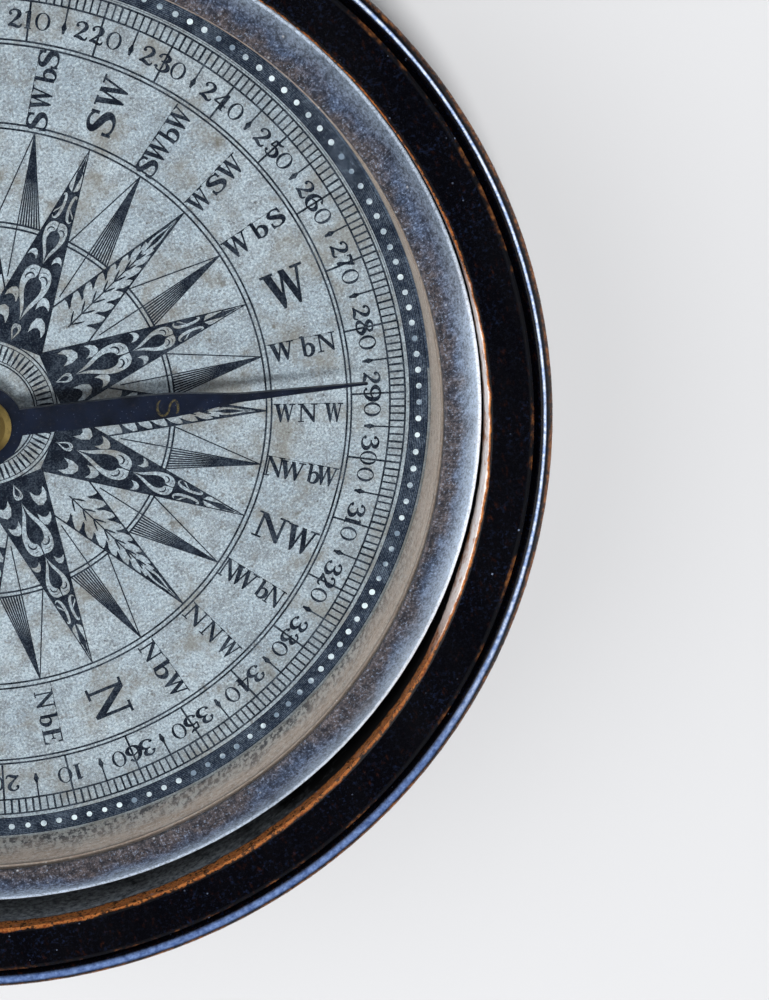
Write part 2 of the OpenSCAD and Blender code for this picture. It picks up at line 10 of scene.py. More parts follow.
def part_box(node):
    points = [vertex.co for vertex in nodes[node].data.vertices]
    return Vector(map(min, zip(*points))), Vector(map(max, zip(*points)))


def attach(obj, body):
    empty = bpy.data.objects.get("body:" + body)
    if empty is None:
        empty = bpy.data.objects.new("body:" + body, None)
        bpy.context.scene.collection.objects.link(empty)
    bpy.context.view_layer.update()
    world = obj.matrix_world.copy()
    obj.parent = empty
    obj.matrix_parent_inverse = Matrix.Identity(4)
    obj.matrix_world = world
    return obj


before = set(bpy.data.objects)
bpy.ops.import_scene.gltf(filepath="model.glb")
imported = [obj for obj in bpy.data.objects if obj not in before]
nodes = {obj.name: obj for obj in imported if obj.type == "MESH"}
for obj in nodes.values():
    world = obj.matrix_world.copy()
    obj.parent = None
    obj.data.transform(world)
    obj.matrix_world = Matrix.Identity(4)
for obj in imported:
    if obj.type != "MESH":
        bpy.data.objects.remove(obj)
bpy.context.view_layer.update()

MM = 0.001
card_low, card_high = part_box("compass_card")
CX = (card_low.x + card_high.x) / 2
CY = (card_low.y + card_high.y) / 2
CARD_Z = card_high.z
CARD_MIDDLE = Vector((CX, CY, CARD_Z))
# Inner radius of the ring, which lies a little outside the liner's
RING_INNER_R = 61.2 * MM

# Radii of the case, from its box and the flat of its rim, whose edges are eased by 0.5 mm at the well and by
# 0.4 mm at the quirk. The painted highlight on the bead lies just inside its crest.
case_low, case_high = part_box("case_body")
CASE_TOP = case_high.z
CASE_R = (case_high.x - case_low.x) / 2
flat_radii = [math.hypot(v.co.x, v.co.y) for v in nodes["case_body"].data.vertices
              if v.co.z > CASE_TOP - 0.01 * MM]
WELL_R = min(flat_radii) - 0.5 * MM
RIM_R = max(flat_radii) + 0.4 * MM
CREST_R = CASE_R - 1.2 * MM


def add_object(name, data):
    made = bpy.data.objects.new(name, data)
    bpy.context.scene.collection.objects.link(made)
    return made


# Camera, at the angle and distance that the photograph was taken from
CAMERA_LENS = 106.26
CAMERA_FROM_CARD = Vector((-0.0391261, -0.0807252, 0.3908148))
CAMERA_TURN = Quaternion((0.1909585, 0.0353205, -0.1367385, 0.9713856))


def add_camera():
    data = bpy.data.cameras.new("camera")
    data.sensor_width = 36
    data.lens = CAMERA_LENS
    data.clip_start = 0.02
    data.clip_end = 20
    camera = add_object("camera", data)
    camera.location = CARD_MIDDLE + CAMERA_FROM_CARD
    camera.rotation_mode = "QUATERNION"
    camera.rotation_quaternion = CAMERA_TURN
    bpy.context.scene.camera = camera


# Material graphs
def srgb(r, g, b):
    """A colour given in 0 to 255, as linear values."""
    def linear(v):
        v = v / 255
        return v / 12.92 if v <= 0.04045 else ((v + 0.055) / 1.055) ** 2.4
    return (linear(r), linear(g), linear(b), 1)


class Graph:
    """A node material from the surface's own coordinates. Colours of three numbers are in 0 to 255."""

    def __init__(self, name):
        self.material = bpy.data.materials.new(name)
        self.material.use_nodes = True
        self.tree = self.material.node_tree
        self.tree.nodes.clear()
        self.place = self.put("TexCoord").outputs["Object"]

    def feed(self, socket, value):
        if isinstance(value, bpy.types.NodeSocket):
            self.tree.links.new(value, socket)
        else:
            socket.default_value = value

    def put(self, kind, inputs=None, **settings):
        node = self.tree.nodes.new("ShaderNode" + kind)
        for key, value in settings.items():
            setattr(node, key, value)
        for key, value in (inputs or {}).items():
            self.feed(node.inputs[key], value)
        return node

    def math(self, operation, a, b=0.0):
        return self.put("Math", {0: a, 1: b}, operation=operation).outputs[0]

    def mul(self, a, b):
        return self.math("MULTIPLY", a, b)

    def add(self, a, b):
        return self.math("ADD", a, b)

    def sub(self, a, b):
        return self.math("SUBTRACT", a, b)

    def most(self, a, b):
        return self.math("MAXIMUM", a, b)

    def span(self, value, low, high, to_low=0.0, to_high=1.0):
        """value taken from low..high to to_low..to_high, held at the ends."""
        return self.put("MapRange", {0: value, 1: low, 2: high, 3: to_low, 4: to_high}).outputs[0]

    def fade(self, value, low, high):
        """1 up to low, falling to 0 at high."""
        return self.span(value, low, high, 1.0, 0.0)

    def band(self, value, middle, half, soft):
        """1 within half of middle, falling to 0 over soft."""
        away = self.math("ABSOLUTE", self.sub(value, middle))
        return self.fade(away, half, half + soft)

    def facing(self, angle, middle, low, high, *ends):
        """A span over the cosine of how far angle is from middle: a share of the way round the piece."""
        return self.span(self.math("COSINE", self.add(angle, -middle)), low, high, *ends)

    def uneven(self, value, noise, reach):
        """value, moved up or down with the noise, by half of reach at most."""
        return self.add(value, self.mul(self.add(noise, -0.5), reach))

    def mix(self, factor, a, b):
        """Two colours. The colour sockets of the node are its inputs 6 and 7 and its output 2."""
        return self.put("Mix", {0: factor, 6: a, 7: b}, data_type="RGBA").outputs[2]

    def shades(self, value, low, high, first, second):
        """From the first colour to the second, as value goes from low to high."""
        return self.mix(self.span(value, low, high), srgb(*first), srgb(*second))

    def lay(self, factor, color):
        """Lays a linear colour over the base."""
        self.base = self.mix(factor, self.base, color)

    def cover(self, mask, share, color):
        """Lays a colour over the base, as far as share where mask is 1."""
        self.lay(self.mul(mask, share), srgb(*color))

    def noise(self, scale, detail, rough, place=None):
        inputs = {"Vector": place or self.place, "Scale": scale, "Detail": detail, "Roughness": rough}
        return self.put("TexNoise", inputs).outputs[0]

    def cells(self, scale):
        return self.put("TexVoronoi", {"Vector": self.place, "Scale": scale}).outputs[0]

    def stretched(self, x, y, z):
        return self.put("VectorMath", {0: self.place, 1: (x, y, z)}, operation="MULTIPLY").outputs[0]

    def radial(self, x0=0.0, y0=0.0):
        """Radius from the upright axis through x0, y0, angle round it from the east, and height."""
        x, y, z = self.put("SeparateXYZ", {0: self.place}).outputs
        dx = self.sub(x, x0)
        dy = self.sub(y, y0)
        radius = self.math("SQRT", self.add(self.mul(dx, dx), self.mul(dy, dy)))
        return radius, self.math("ARCTAN2", dy, dx), z

    def turned(self, radius, angle, z, along, across):
        """Coordinates that are stretched round the axis: along is the scale round it, across the scale out
        from it. The cosine and sine keep the seam shut."""
        return self.put("CombineXYZ", {0: self.mul(self.math("COSINE", angle), along),
                                       1: self.mul(self.math("SINE", angle), along),
                                       2: self.mul(self.add(radius, z), across)}).outputs[0]

    def finish(self, bump=None, gloss=0.5, **inputs):
        """The shader. bump is the height of the relief, its strength and its depth."""
        if bump:
            height, strength, depth = bump
            relief = self.put("Bump", {"Height": height, "Strength": strength, "Distance": depth})
            inputs["Normal"] = relief.outputs[0]
        inputs.update({"Base Color": self.base, "Specular IOR Level": gloss})
        self.shader = self.put("BsdfPrincipled", inputs)
        self.out = self.put("OutputMaterial", {0: self.shader.outputs[0]})
        return self.material


def dress(node_names, material):
    for name in node_names:
        slots = nodes[name].data.materials
        slots.clear()
        slots.append(material)


# Print on the card: flat shapes in ink, each a little above the last
LAYER = 0.002 * MM
PRINT_RISE = 0.02 * MM
# The step in millimetres of the card's own measure, in which the degree band begins at about 1000
STEP = 0.05
# Sides of a whole ring, an oval, a ball and a dot
RING_SIDES = 720
OVAL_SIDES = 40
BALL_SIDES = 16
DOT_SIDES = 20
# Least width of a stroke, in its own measure
THINNEST = 0.01


def at(azimuth, radius, side=0.0):
    """A point on the card, in millimetres: azimuth in degrees, radius in steps, and side in steps towards
    the higher azimuth."""
    a = math.radians(azimuth)
    s, c = math.sin(a), math.cos(a)
    return (STEP * (radius * s + side * c), STEP * (radius * c - side * s))


def ellipse(x, y, rx, ry, sides):
    turn = 2 * math.pi / sides
    return [(x + rx * math.cos(i * turn), y + ry * math.sin(i * turn)) for i in range(sides)]


def curve(points, steps=7):
    """A smooth line through points of any number of values each."""
    first = [2 * a - b for a, b in zip(points[0], points[1])]
    last = [2 * a - b for a, b in zip(points[-1], points[-2])]
    row = [first, *points, last]
    line = []
    for i in range(1, len(row) - 2):
        p0, p1, p2, p3 = row[i - 1:i + 3]
        for s in range(steps):
            t = s / steps
            line.append(tuple(
                0.5 * (2 * b + (c - a) * t + (2 * a - 5 * b + 4 * c - d) * t * t
                       + (3 * b - a - 3 * c + d) * t ** 3)
                for a, b, c, d in zip(p0, p1, p2, p3)))
    line.append(tuple(points[-1]))
    return line


class Sheet:
    """Flat shapes in one mesh. Points are in millimetres on the card, x to the east and y to the north."""

    def __init__(self, name, first_layer=0, layers=9):
        self.name = name
        self.verts = []
        self.faces = []
        self.first = first_layer
        self.layers = layers
        self.level = 0
        self.height = CARD_Z + PRINT_RISE
        self.bold = {}

    def up(self):
        """The height of the next shape, so that shapes that cross aren't in one plane."""
        self.level = (self.level + 1) % self.layers
        return self.height + (self.first + self.level) * LAYER

    def points(self, points, z):
        start = len(self.verts)
        self.verts.extend((CX + x * MM, CY + y * MM, z) for x, y in points)
        return start

    def strip(self, left, right, closed=False):
        z = self.up()
        a = self.points(left, z)
        b = self.points(right, z)
        count = len(left)
        for i in range(count if closed else count - 1):
            j = (i + 1) % count
            self.faces.append((a + i, b + i, b + j, a + j))

    def fill(self, outline):
        start = self.points(outline, self.up())
        flat = [Vector((x, y, 0)) for x, y in outline]
        self.faces.extend(tuple(start + i for i in face) for face in tessellate_polygon([flat]))

    def ring(self, inner, outer, start=0.0, stop=360.0):
        """A ring, or an arc of one, between two radii in steps, by azimuth in degrees."""
        whole = stop - start >= 360
        count = RING_SIDES if whole else max(2, round(RING_SIDES * (stop - start) / 360))
        steps = [start + (stop - start) * i / count for i in range(count if whole else count + 1)]
        self.strip([at(a, outer) for a in steps], [at(a, inner) for a in steps], closed=whole)

    def brush(self, points, place=lambda x, y: (x, y), smooth=True, weight=1.0, extra=0.0):
        """A stroke through points of x, y and width, in a glyph's own measure. place puts it on the card.
        weight and extra make it bolder."""
        line = curve(points) if smooth else points
        left, right = [], []
        for i, (x, y, width) in enumerate(line):
            x0, y0, _ = line[max(i - 1, 0)]
            x1, y1, _ = line[min(i + 1, len(line) - 1)]
            length = math.hypot(x1 - x0, y1 - y0) or 1.0
            half = (max(width, THINNEST) * weight + extra) / 2
            nx, ny = -(y1 - y0) / length * half, (x1 - x0) / length * half
            left.append(place(x + nx, y + ny))
            right.append(place(x - nx, y - ny))
        self.strip(left, right)

    def make(self, material, body="case"):
        mesh = bpy.data.meshes.new(self.name)
        mesh.from_pydata(self.verts, [], self.faces)
        mesh.update()
        for polygon in [p for p in mesh.polygons if p.normal.z < 0]:
            polygon.flip()
        mesh.materials.append(material)
        piece = add_object(self.name, mesh)
        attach(piece, body)


# Letters and figures of the engraver's roman kind, as strokes in hundredths of the height. A line or smooth
# stroke has points of x, y and width, a ball its middle and radius, a filled shape its corners, and an oval
# its middle and the radii of its outer and inner edge.
SERIF = 3.5


def serif(x, y, half):
    return [(x - half, y, SERIF), (x + half, y, SERIF)]


LINE, SMOOTH, BALL, OVAL, FILL = "line", "smooth", "ball", "oval", "fill"
GLYPHS = {
    "W": [
        (FILL, [(9.5, 98), (30, 98), (48.5, 20), (40.8, -1), (37, -1)]),
        (LINE, [(40, 2, 3.5), (61.5, 97, 4.5)]),
        (FILL, [(54.5, 100), (70.5, 100), (92, 20), (84.8, -1), (81.2, -1), (60, 80)]),
        (LINE, [(84, 2, 3.5), (107.5, 97, 4.5)]),
        (LINE, serif(19, 98.2, 19)),
        (LINE, serif(106, 98.2, 17.6))],
    "N": [
        (LINE, [(17, 2, 4.5), (17, 93, 4.5)]),
        (FILL, [(0, 99.5), (27, 99.5), (85.5, 18), (85.5, -2), (80, -2), (12, 94.5), (0, 95.5)]),
        (LINE, [(84, 0, 4.5), (84, 98, 4.5)]),
        (LINE, serif(17, 1.8, 16)),
        (LINE, serif(84, 98.2, 16))],
    "E": [
        (LINE, [(22, 0, 16), (22, 100, 16)]),
        (LINE, [(5, 98.2, SERIF), (74, 98.2, SERIF)]),
        (LINE, [(5, 1.8, SERIF), (78, 1.8, SERIF)]),
        (LINE, [(22, 52, SERIF), (56, 52, SERIF)]),
        (LINE, [(70, 99, 6), (75, 74, 2)]),
        (LINE, [(73, 1, 7), (80, 28, 2)]),
        (LINE, [(56, 64, 3), (56, 40, 3)])],
    "S": [
        (SMOOTH, [(55, 86, 4), (47, 95, 5), (32, 98, 6), (17, 88, 10), (16, 71, 14), (34, 56, 18),
                 (52, 42, 18), (58, 23, 13), (49, 7, 8), (32, 2, 5), (18, 7, 5), (12, 16, 4)]),
        (LINE, [(56, 100, 3), (57, 68, 5)]),
        (LINE, [(10, 0, 3), (10, 34, 5)])],
    "b": [
        (LINE, [(19, 4, 12), (19, 98, 12)]),
        (LINE, [(3, 96.5, 4), (21, 98.5, 5)]),
        (SMOOTH, [(21, 42, 3), (32, 57, 5), (47, 58, 9), (60, 45, 14), (61, 25, 15), (51, 7, 10),
                 (36, 1, 5), (21, 6, 4)])],
    "0": [(OVAL, (49, 50, 46, 51, 29, 45.5))],
    "1": [
        (LINE, [(27, 2, 13), (27, 98, 13)]),
        (LINE, [(10, 86, 3), (27, 98, 6)]),
        (LINE, serif(27, 1.8, 16))],
    "2": [
        (SMOOTH, [(11, 74, 6), (15, 88, 5), (32, 98, 6), (50, 93, 11), (58, 77, 15), (52, 58, 14),
                 (36, 38, 8), (19, 19, 5), (7, 6, 5)]),
        (SMOOTH, [(6, 5, 5), (20, 12, 13), (36, 10, 15), (54, 3, 11), (66, 6, 7), (72, 22, 3)]),
        (BALL, (15, 73, 8.5))],
    "3": [
        (SMOOTH, [(11, 80, 4), (20, 94, 5), (36, 99, 7), (52, 88, 13), (51, 70, 12), (38, 58, 6),
                 (24, 54, 4)]),
        (SMOOTH, [(26, 55, 4), (44, 54, 7), (60, 41, 13), (62, 21, 15), (48, 4, 10), (29, 1, 5),
                 (12, 9, 4)]),
        (BALL, (14, 77, 8)), (BALL, (13, 18, 8.5))],
    "4": [
        (LINE, [(52, 99, 5), (5, 30, 5)]),
        (LINE, [(3, 29, 6), (74, 29, 6)]),
        (LINE, [(53, 99, 13), (53, 3, 13)]),
        (LINE, serif(53, 1.8, 17))],
    "5": [
        (SMOOTH, [(19, 93, 7), (35, 90, 13), (50, 93, 9), (62, 102, 3)]),
        (LINE, [(20, 95, 4.5), (14, 54, 4.5)]),
        (SMOOTH, [(14, 53, 3), (28, 61, 6), (46, 59, 10), (61, 44, 14), (62, 23, 15), (48, 5, 10),
                 (29, 1, 5), (12, 9, 4)]),
        (BALL, (13, 18, 8.5))],
    "6": [
        (SMOOTH, [(58, 86, 4), (48, 97, 5), (34, 95, 7), (18, 76, 12), (11, 47, 15), (16, 18, 13),
                 (35, 1, 6), (55, 10, 10), (64, 30, 14), (56, 50, 10), (38, 59, 5), (20, 48, 4)]),
        (BALL, (57, 85, 7))],
    "7": [
        (SMOOTH, [(6, 86, 5), (17, 94, 11), (33, 90, 13), (50, 88, 11), (63, 98, 4)]),
        (SMOOTH, [(63, 98, 4), (50, 70, 7), (36, 40, 12), (31, 18, 16), (32, 2, 17)]),
        (LINE, [(6, 100, 3), (6, 74, 4)])],
    "8": [
        (SMOOTH, [(52, 92, 6), (36, 99, 5), (20, 92, 10), (17, 76, 13), (32, 60, 15), (50, 46, 16),
                 (63, 27, 13), (52, 6, 7), (36, 1, 5), (16, 8, 9), (10, 25, 11), (22, 44, 6),
                 (40, 56, 5), (56, 72, 8), (55, 88, 8), (48, 95, 5)])],
}


def half_turned(kind, shape):
    """A stroke of the 6, as the 9 has it."""
    if kind == BALL:
        x, y, radius = shape
        return kind, (75 - x, 100 - y, radius)
    return kind, [(75 - x, 100 - y, w) for x, y, w in shape]


GLYPHS["9"] = [half_turned(*stroke) for stroke in GLYPHS["6"]]
# How much bolder strokes are than they are listed, and how far ink spreads past the edge of a filled one
BOLD = {"weight": 1.16, "extra": 3.4}
SPREAD = 3


def ink_extent(character):
    """The lowest and highest x that a glyph's ink reaches."""
    low, high = [], []
    for kind, shape in GLYPHS[character]:
        if kind in (BALL, OVAL):
            low.append(shape[0] - shape[2])
            high.append(shape[0] + shape[2])
        else:
            low.extend(point[0] for point in shape)
            high.extend(point[0] for point in shape)
    return min(low), max(high)


def draw_glyph(sheet, character, place):
    for kind, shape in GLYPHS[character]:
        if kind == BALL:
            x, y, radius = shape
            sheet.fill([place(*p) for p in ellipse(x, y, radius, radius, BALL_SIDES)])
        elif kind == FILL:
            sheet.fill([place(*p) for p in shape])
            sheet.brush([(*p, SPREAD) for p in (*shape, shape[0])], place, smooth=False)
        elif kind == OVAL:
            x, y, rx, ry, in_x, in_y = shape
            sheet.strip([place(*p) for p in ellipse(x, y, rx, ry, OVAL_SIDES)],
                        [place(*p) for p in ellipse(x, y, in_x, in_y, OVAL_SIDES)], closed=True)
        else:
            sheet.brush(shape, place, smooth=kind == SMOOTH, **BOLD)


# Widths of the figures, for a height of 100, and the gap between two
FIGURE_WIDTHS = dict(zip("0123456789", (87, 42, 76, 78, 80, 74, 74, 62, 72, 75)))
FIGURE_GAP = 16


def draw_figures(sheet, text, azimuth, low, high):
    """Figures that run round the card, with their tops outwards."""
    size = high - low
    middle = (low + high) / 2
    x = -(sum(FIGURE_WIDTHS[c] for c in text) + FIGURE_GAP * (len(text) - 1)) / 2
    for c in text:
        ink_low, ink_high = ink_extent(c)
        scale = FIGURE_WIDTHS[c] / (ink_high - ink_low)

        def place(gx, gy, x=x, ink_low=ink_low, scale=scale):
            turn = math.degrees((x + (gx - ink_low) * scale) / 100 * size / middle)
            return at(azimuth + turn, low + gy / 100 * size)
        draw_glyph(sheet, c, place)
        x += FIGURE_WIDTHS[c] + FIGURE_GAP


def draw_letters(sheet, letters, azimuth):
    """Letters that read outwards: each a character, the radii where it starts and ends, and how far its top
    and its foot are to the side of the azimuth."""
    for c, start, end, top, foot in letters:
        low, high = ink_extent(c)
        scale = (end - start) / (high - low)

        def place(gx, gy, start=start, scale=scale, low=low, top=top, foot=foot):
            return at(azimuth, start + (gx - low) * scale, foot + (top - foot) * gy / 100)
        draw_glyph(sheet, c, place)


# Radii and widths of what is printed round the card, in steps
LINE_W = 5.2
TICK_W = 5.4
TENS_W = 5.6
RING_1 = (768.5, 782.5)
RING_2 = (989.3, 1000.7)
TICK_IN, TICK_OUT = 1106.5, 1148.5
ARROW_STEM_IN = 1058
# One side of the outline of the arrows at the fives: radius and side
ARROW_HEAD = [(1037, 3), (1045, 4.4), (1053.5, 7.8), (1058.5, 5.2), (1066.5, 2.6)]
FIGURE_LOW, FIGURE_HIGH = 1035, 1081.2
INNER_RING = (508, 520.5)
# The dark border, with a dark ring outside it on one side at the edge of the card
BAND_IN, BAND_OUT, BAND_WIDE_OUT = 1160, 1212.5, 1218.5
BAND_LINES = 11
DOTS = 164
DOT_RING = 1186.5
FIRST_DOT = 296.2
# Radius of a dot, and widths of the ends of an arrow's stem, in millimetres
DOT_R = 0.395
STEM_W = (0.24, 0.22)


def both_sides(points):
    """A closed outline from its half on one side."""
    return points + [(r, -s) for r, s in reversed(points) if s]


def circle_line(sheet, radius, width=LINE_W, **arc):
    sheet.ring(radius - width / 2, radius + width / 2, **arc)


def draw_scale(lines, figures):
    """The degree band: rings, ticks, long lines at the tens, arrows at the fives, and figures."""
    for radius in (*RING_1, *RING_2, TICK_IN, TICK_OUT):
        circle_line(lines, radius)
    circle_line(lines, 1156, 1.4, start=150, stop=276)
    draw = random.Random(5)
    for degree in range(360):
        azimuth = degree + draw.uniform(-0.05, 0.05)
        width = TICK_W * draw.uniform(0.85, 1.15)
        inner = TICK_IN
        if degree % 10 == 0:
            inner, width = RING_2[1], TENS_W
        lines.brush([(*at(azimuth, r), width * STEP) for r in (inner, TICK_OUT)], smooth=False)
        if degree % 10 == 5:
            stem = zip((TICK_IN, ARROW_STEM_IN), STEM_W)
            lines.brush([(*at(azimuth, r), w) for r, w in stem], smooth=False)
            lines.fill([at(azimuth, r, s) for r, s in both_sides(ARROW_HEAD)])
    for tens in range(10, 370, 10):
        draw_figures(figures, str(tens), tens + draw.uniform(-0.12, 0.12), FIGURE_LOW, FIGURE_HIGH)


def draw_border(base, hatch, dots):
    """The dark band at the edge of the card: close lines round it, and a row of dots left white."""
    base.ring(BAND_IN, BAND_OUT)
    # A dark ring just outside the border, on one side only
    base.ring(BAND_OUT, BAND_WIDE_OUT, start=120, stop=287)
    draw = random.Random(11)
    for i in range(BAND_LINES):
        radius = BAND_IN + (BAND_OUT - BAND_IN) * (i + 0.5) / BAND_LINES
        edge = i in (0, BAND_LINES - 1)
        start = 0.0
        while start < 360:
            stop = min(360.0, start + (90 if edge else draw.uniform(20, 60)))
            width = 3.4 if edge else 2.8 * draw.uniform(0.7, 1.3)
            circle_line(hatch, radius, width, start=start, stop=stop)
            start = stop + (0 if edge else draw.uniform(0.0, 0.4))
    for i in range(DOTS):
        # The spacing of the dots swells and shrinks eight times round the card
        azimuth = FIRST_DOT + 360 * i / DOTS
        azimuth += 0.36 * math.sin(math.radians(8 * (279 - azimuth))) + draw.uniform(-0.04, 0.04)
        x, y = at(azimuth, DOT_RING + draw.uniform(-0.8, 0.8))
        radius = DOT_R * draw.uniform(0.90, 1.07)
        dots.fill(ellipse(x, y, radius, radius, DOT_SIDES))


# Names of the points, quarter by quarter from the north
POINT_NAMES = []
for a, b, d in (("N", "E", "NE"), ("E", "S", "SE"), ("S", "W", "SW"), ("W", "N", "NW")):
    POINT_NAMES += [a, a + "b" + b, a + d, d + "b" + a, d, d + "b" + b, b + d, b + "b" + a]
# For each length of name: where it starts and ends, and the half height of its letters
NAME_SPANS = {1: (815.4, 959.2, 50.5), 2: (805, 984, 35.8), 3: (788, 975, 25.2), 4: (780, 984, 26.8)}
LETTER_WIDTHS = {"W": 1.20, "N": 1.06, "S": 0.72, "E": 0.86, "b": 0.64}
# The compositor's own spacing, where names aren't set evenly: characters with start, end, top and foot
NAMES_AS_SET = {
    "WSW": [("W", 788, 851, -18.9, 31.5), ("S", 863, 901, -18.5, 29), ("W", 905, 974, -22.6, 28.5)],
    "WbS": [("W", 786, 861, -24.3, 30.6), ("b", 874, 910, -27.2, 23.1), ("S", 931, 965.5, -25.4, 22)],
    "WbN": [("W", 790, 860, -27.9, 22.2), ("b", 877, 909, -33.1, 24.2), ("N", 921, 974, -29.7, 19.4)],
    "WNW": [("W", 788, 847, -17.8, 32.1), ("N", 854, 907, -18.4, 31.5), ("W", 926, 978, -19.9, 33.2)],
    "NWbW": [("N", 780, 832, -28.2, 26.4), ("W", 820, 892.5, -23.4, 28),
             ("b", 899, 930, -26.9, 25.9), ("W", 922.5, 984, -27, 26)],
    "NW": [("N", 805, 892.5, -30.6, 40.8), ("W", 892.5, 984, -27.7, 43.1)],
    "NWbN": [("N", 781, 832, -28.1, 26.3), ("W", 817.5, 890, -27, 26.4),
             ("b", 899, 930, -28.9, 22.3), ("N", 930, 979, -30.1, 23.2)],
    "NNW": [("N", 788, 847, -24.9, 24.9), ("N", 856, 909, -24, 26.2), ("W", 921, 978, -22.7, 28.9)],
    "NbW": [("N", 789, 845, -23.9, 24.5), ("b", 857, 899, -27.1, 24.9), ("W", 903, 974, -25.9, 23.6)]}


def label_letters(name):
    """Where each letter of a point's name goes between the two rings."""
    if name in NAMES_AS_SET:
        return NAMES_AS_SET[name]
    start, end, half = NAME_SPANS[len(name)]
    widths = [LETTER_WIDTHS[c] * 2 * half for c in name]
    most = end - start
    if sum(widths) > most:
        widths = [w * most / sum(widths) for w in widths]
    gap = min((most - sum(widths)) / max(len(name) - 1, 1), 14)
    place = (start + end - sum(widths) - gap * (len(name) - 1)) / 2
    letters = []
    for c, width in zip(name, widths):
        letters.append((c, place, place + width, -half, half))
        place += width + gap
    return letters


def draw_labels(letters, hairs):
    """The names of the points, with a hairline beside each of the longer ones."""
    for i, name in enumerate(POINT_NAMES):
        azimuth = 11.25 * i
        row = label_letters(name)
        draw_letters(letters, row, azimuth)
        if len(name) > 2:
            _, _, _, first_top, _ = row[0]
            _, _, end, last_top, _ = row[-1]
            hairs.brush([(*at(azimuth, RING_1[1], first_top), 0.07), (*at(azimuth, end, last_top), 0.06)],
                        smooth=False)


# The rose, in steps: eight chief points with scrolls, eight half points with leaves, and sixteen plain ones
# that are half hatched
TIP = RING_1[0]
SLOPE = 0.158
MEET = 204
HALF_MEET = 330
LEAVES, LEAF_STEP = 7, 41
PLAIN_HALF_ANGLE = math.radians(6.6)
PLAIN_LINES = 8
EYE_START = 557
# Rings round the hub, with their widths, in steps, and the number of its rays
HUB_RINGS = [(204, 4), (194, 2.4), (150, 2.4), (143, 4)]
HUB_RAYS = 72


def half_width(r):
    return (TIP - r) * SLOPE


def pen(sheet, azimuth, points, mirror=True, smooth=True):
    """A stroke on a point of the rose: points are radius, side and width."""
    for side in ((1, -1) if mirror else (1,)):
        def place(r, s, side=side):
            return at(azimuth, r, side * s)
        sheet.brush(points, place, smooth, **sheet.bold)


def blot(sheet, azimuth, points, mirror=True):
    """A filled shape on a point of the rose: points are radius and side."""
    for side in ((1, -1) if mirror else (1,)):
        sheet.fill([at(azimuth, r, side * s) for r, s in points])


def smooth_blot(sheet, azimuth, points):
    """A filled shape across the middle of a point, smooth through the points of one of its sides."""
    blot(sheet, azimuth, both_sides(curve(points, 5)), mirror=False)


class Rose:
    """Three sheets: ink, the paper left white in it, and ink on that."""

    def __init__(self):
        self.ink = Sheet("card_rose")
        self.ink.bold = {"weight": 1.18, "extra": 0.9}
        self.bare = Sheet("card_rose_reserves", 10, 2)
        self.detail = Sheet("card_rose_details", 13, 3)


def draw_eye(rose, azimuth, start, size):
    """A dark eye between two white scrolls, from start inwards."""
    def scaled(points):
        return [(start - (EYE_START - p[0]) * size, *(v * size for v in p[1:])) for p in points]
    white = [(557, 0), (558, 12), (553, 21.5), (543, 27.5), (528, 30), (511, 28.5), (495, 23.5), (480, 16.5),
             (464, 9), (450, 3.5), (438, 0)]
    dark = [(548, 0), (541, 1.8), (533, 4.5), (529, 10.5), (520, 15.5), (506, 16.5), (491, 12.5), (478, 7),
            (464, 2.8), (446, 1), (438, 0)]
    outer_lid = [(524, 22.5, 1), (532, 22.5, 3.4), (539, 17, 4.2), (539, 9.5, 2.8), (534, 6, 1)]
    inner_lid = [(546, 20, 0.8), (549, 14, 1.8), (547, 7.5, 0.8)]
    smooth_blot(rose.bare, azimuth, scaled(white))
    smooth_blot(rose.detail, azimuth, scaled(dark))
    pen(rose.detail, azimuth, scaled(outer_lid))
    pen(rose.detail, azimuth, scaled(inner_lid))
    pen(rose.detail, azimuth, scaled([(560, 0, 2.6), (540, 0, 2.6)]), mirror=False, smooth=False)


def draw_scrolls(rose, azimuth):
    """A long white scroll with a curl at each end, on both sides of the middle."""
    scroll = [(571, 27, 1.2), (566, 22.5, 4), (570, 15.5, 6.5), (584, 10.8, 7.6), (604, 8.6, 7),
              (624, 9.4, 6.4), (636, 12.6, 5.4), (637, 16.6, 3), (631, 17.6, 1)]
    spur = [(578, 26.5, 1), (585, 24, 3.4), (592, 18, 3), (600, 13.5, 1.2)]
    pen(rose.bare, azimuth, scroll)
    pen(rose.bare, azimuth, spur)


def draw_chief_point(rose, azimuth):
    base = half_width(MEET)
    blot(rose.ink, azimuth, [(768, 0), (MEET, base), (MEET, -base)], mirror=False)
    pen(rose.ink, azimuth, [(767, 0, 1.6), (MEET, base, 2.4)], smooth=False)
    pen(rose.bare, azimuth, [(754, 0.9, 0.5), (740, 1.9, 1.5), (727, 3.2, 0.5)], smooth=False)
    blot(rose.bare, azimuth, [(739, 1.8), (718, 5.2), (703, 7.4), (712, 4.4)])
    blot(rose.bare, azimuth, [(647, 2.2), (655, 12.5), (664, 14.6), (680, 12.2), (697, 9.4), (701, 7.6),
                              (688, 7), (672, 4.4)])
    draw_scrolls(rose, azimuth)
    draw_eye(rose, azimuth, EYE_START, 1)
    blot(rose.bare, azimuth, [(468, 27), (471, 33), (468, 40), (460, 45.5), (450, 47.5), (455, 41),
                              (456, 34), (452, 27), (444, 22), (458, 22)])
    draw_eye(rose, azimuth, 428, 1.30)
    blot(rose.bare, azimuth, [(352, 34), (356, 42), (350, 53), (338, 60), (324, 62), (332, 53), (334, 44),
                              (328, 35), (316, 28), (334, 27)])
    draw_eye(rose, azimuth, 262, 0.40)
    blot(rose.bare, azimuth, [(296, 40), (300, 52), (290, 66), (268, 74), (250, 70), (266, 62), (272, 52),
                              (268, 42), (252, 32), (276, 32)])


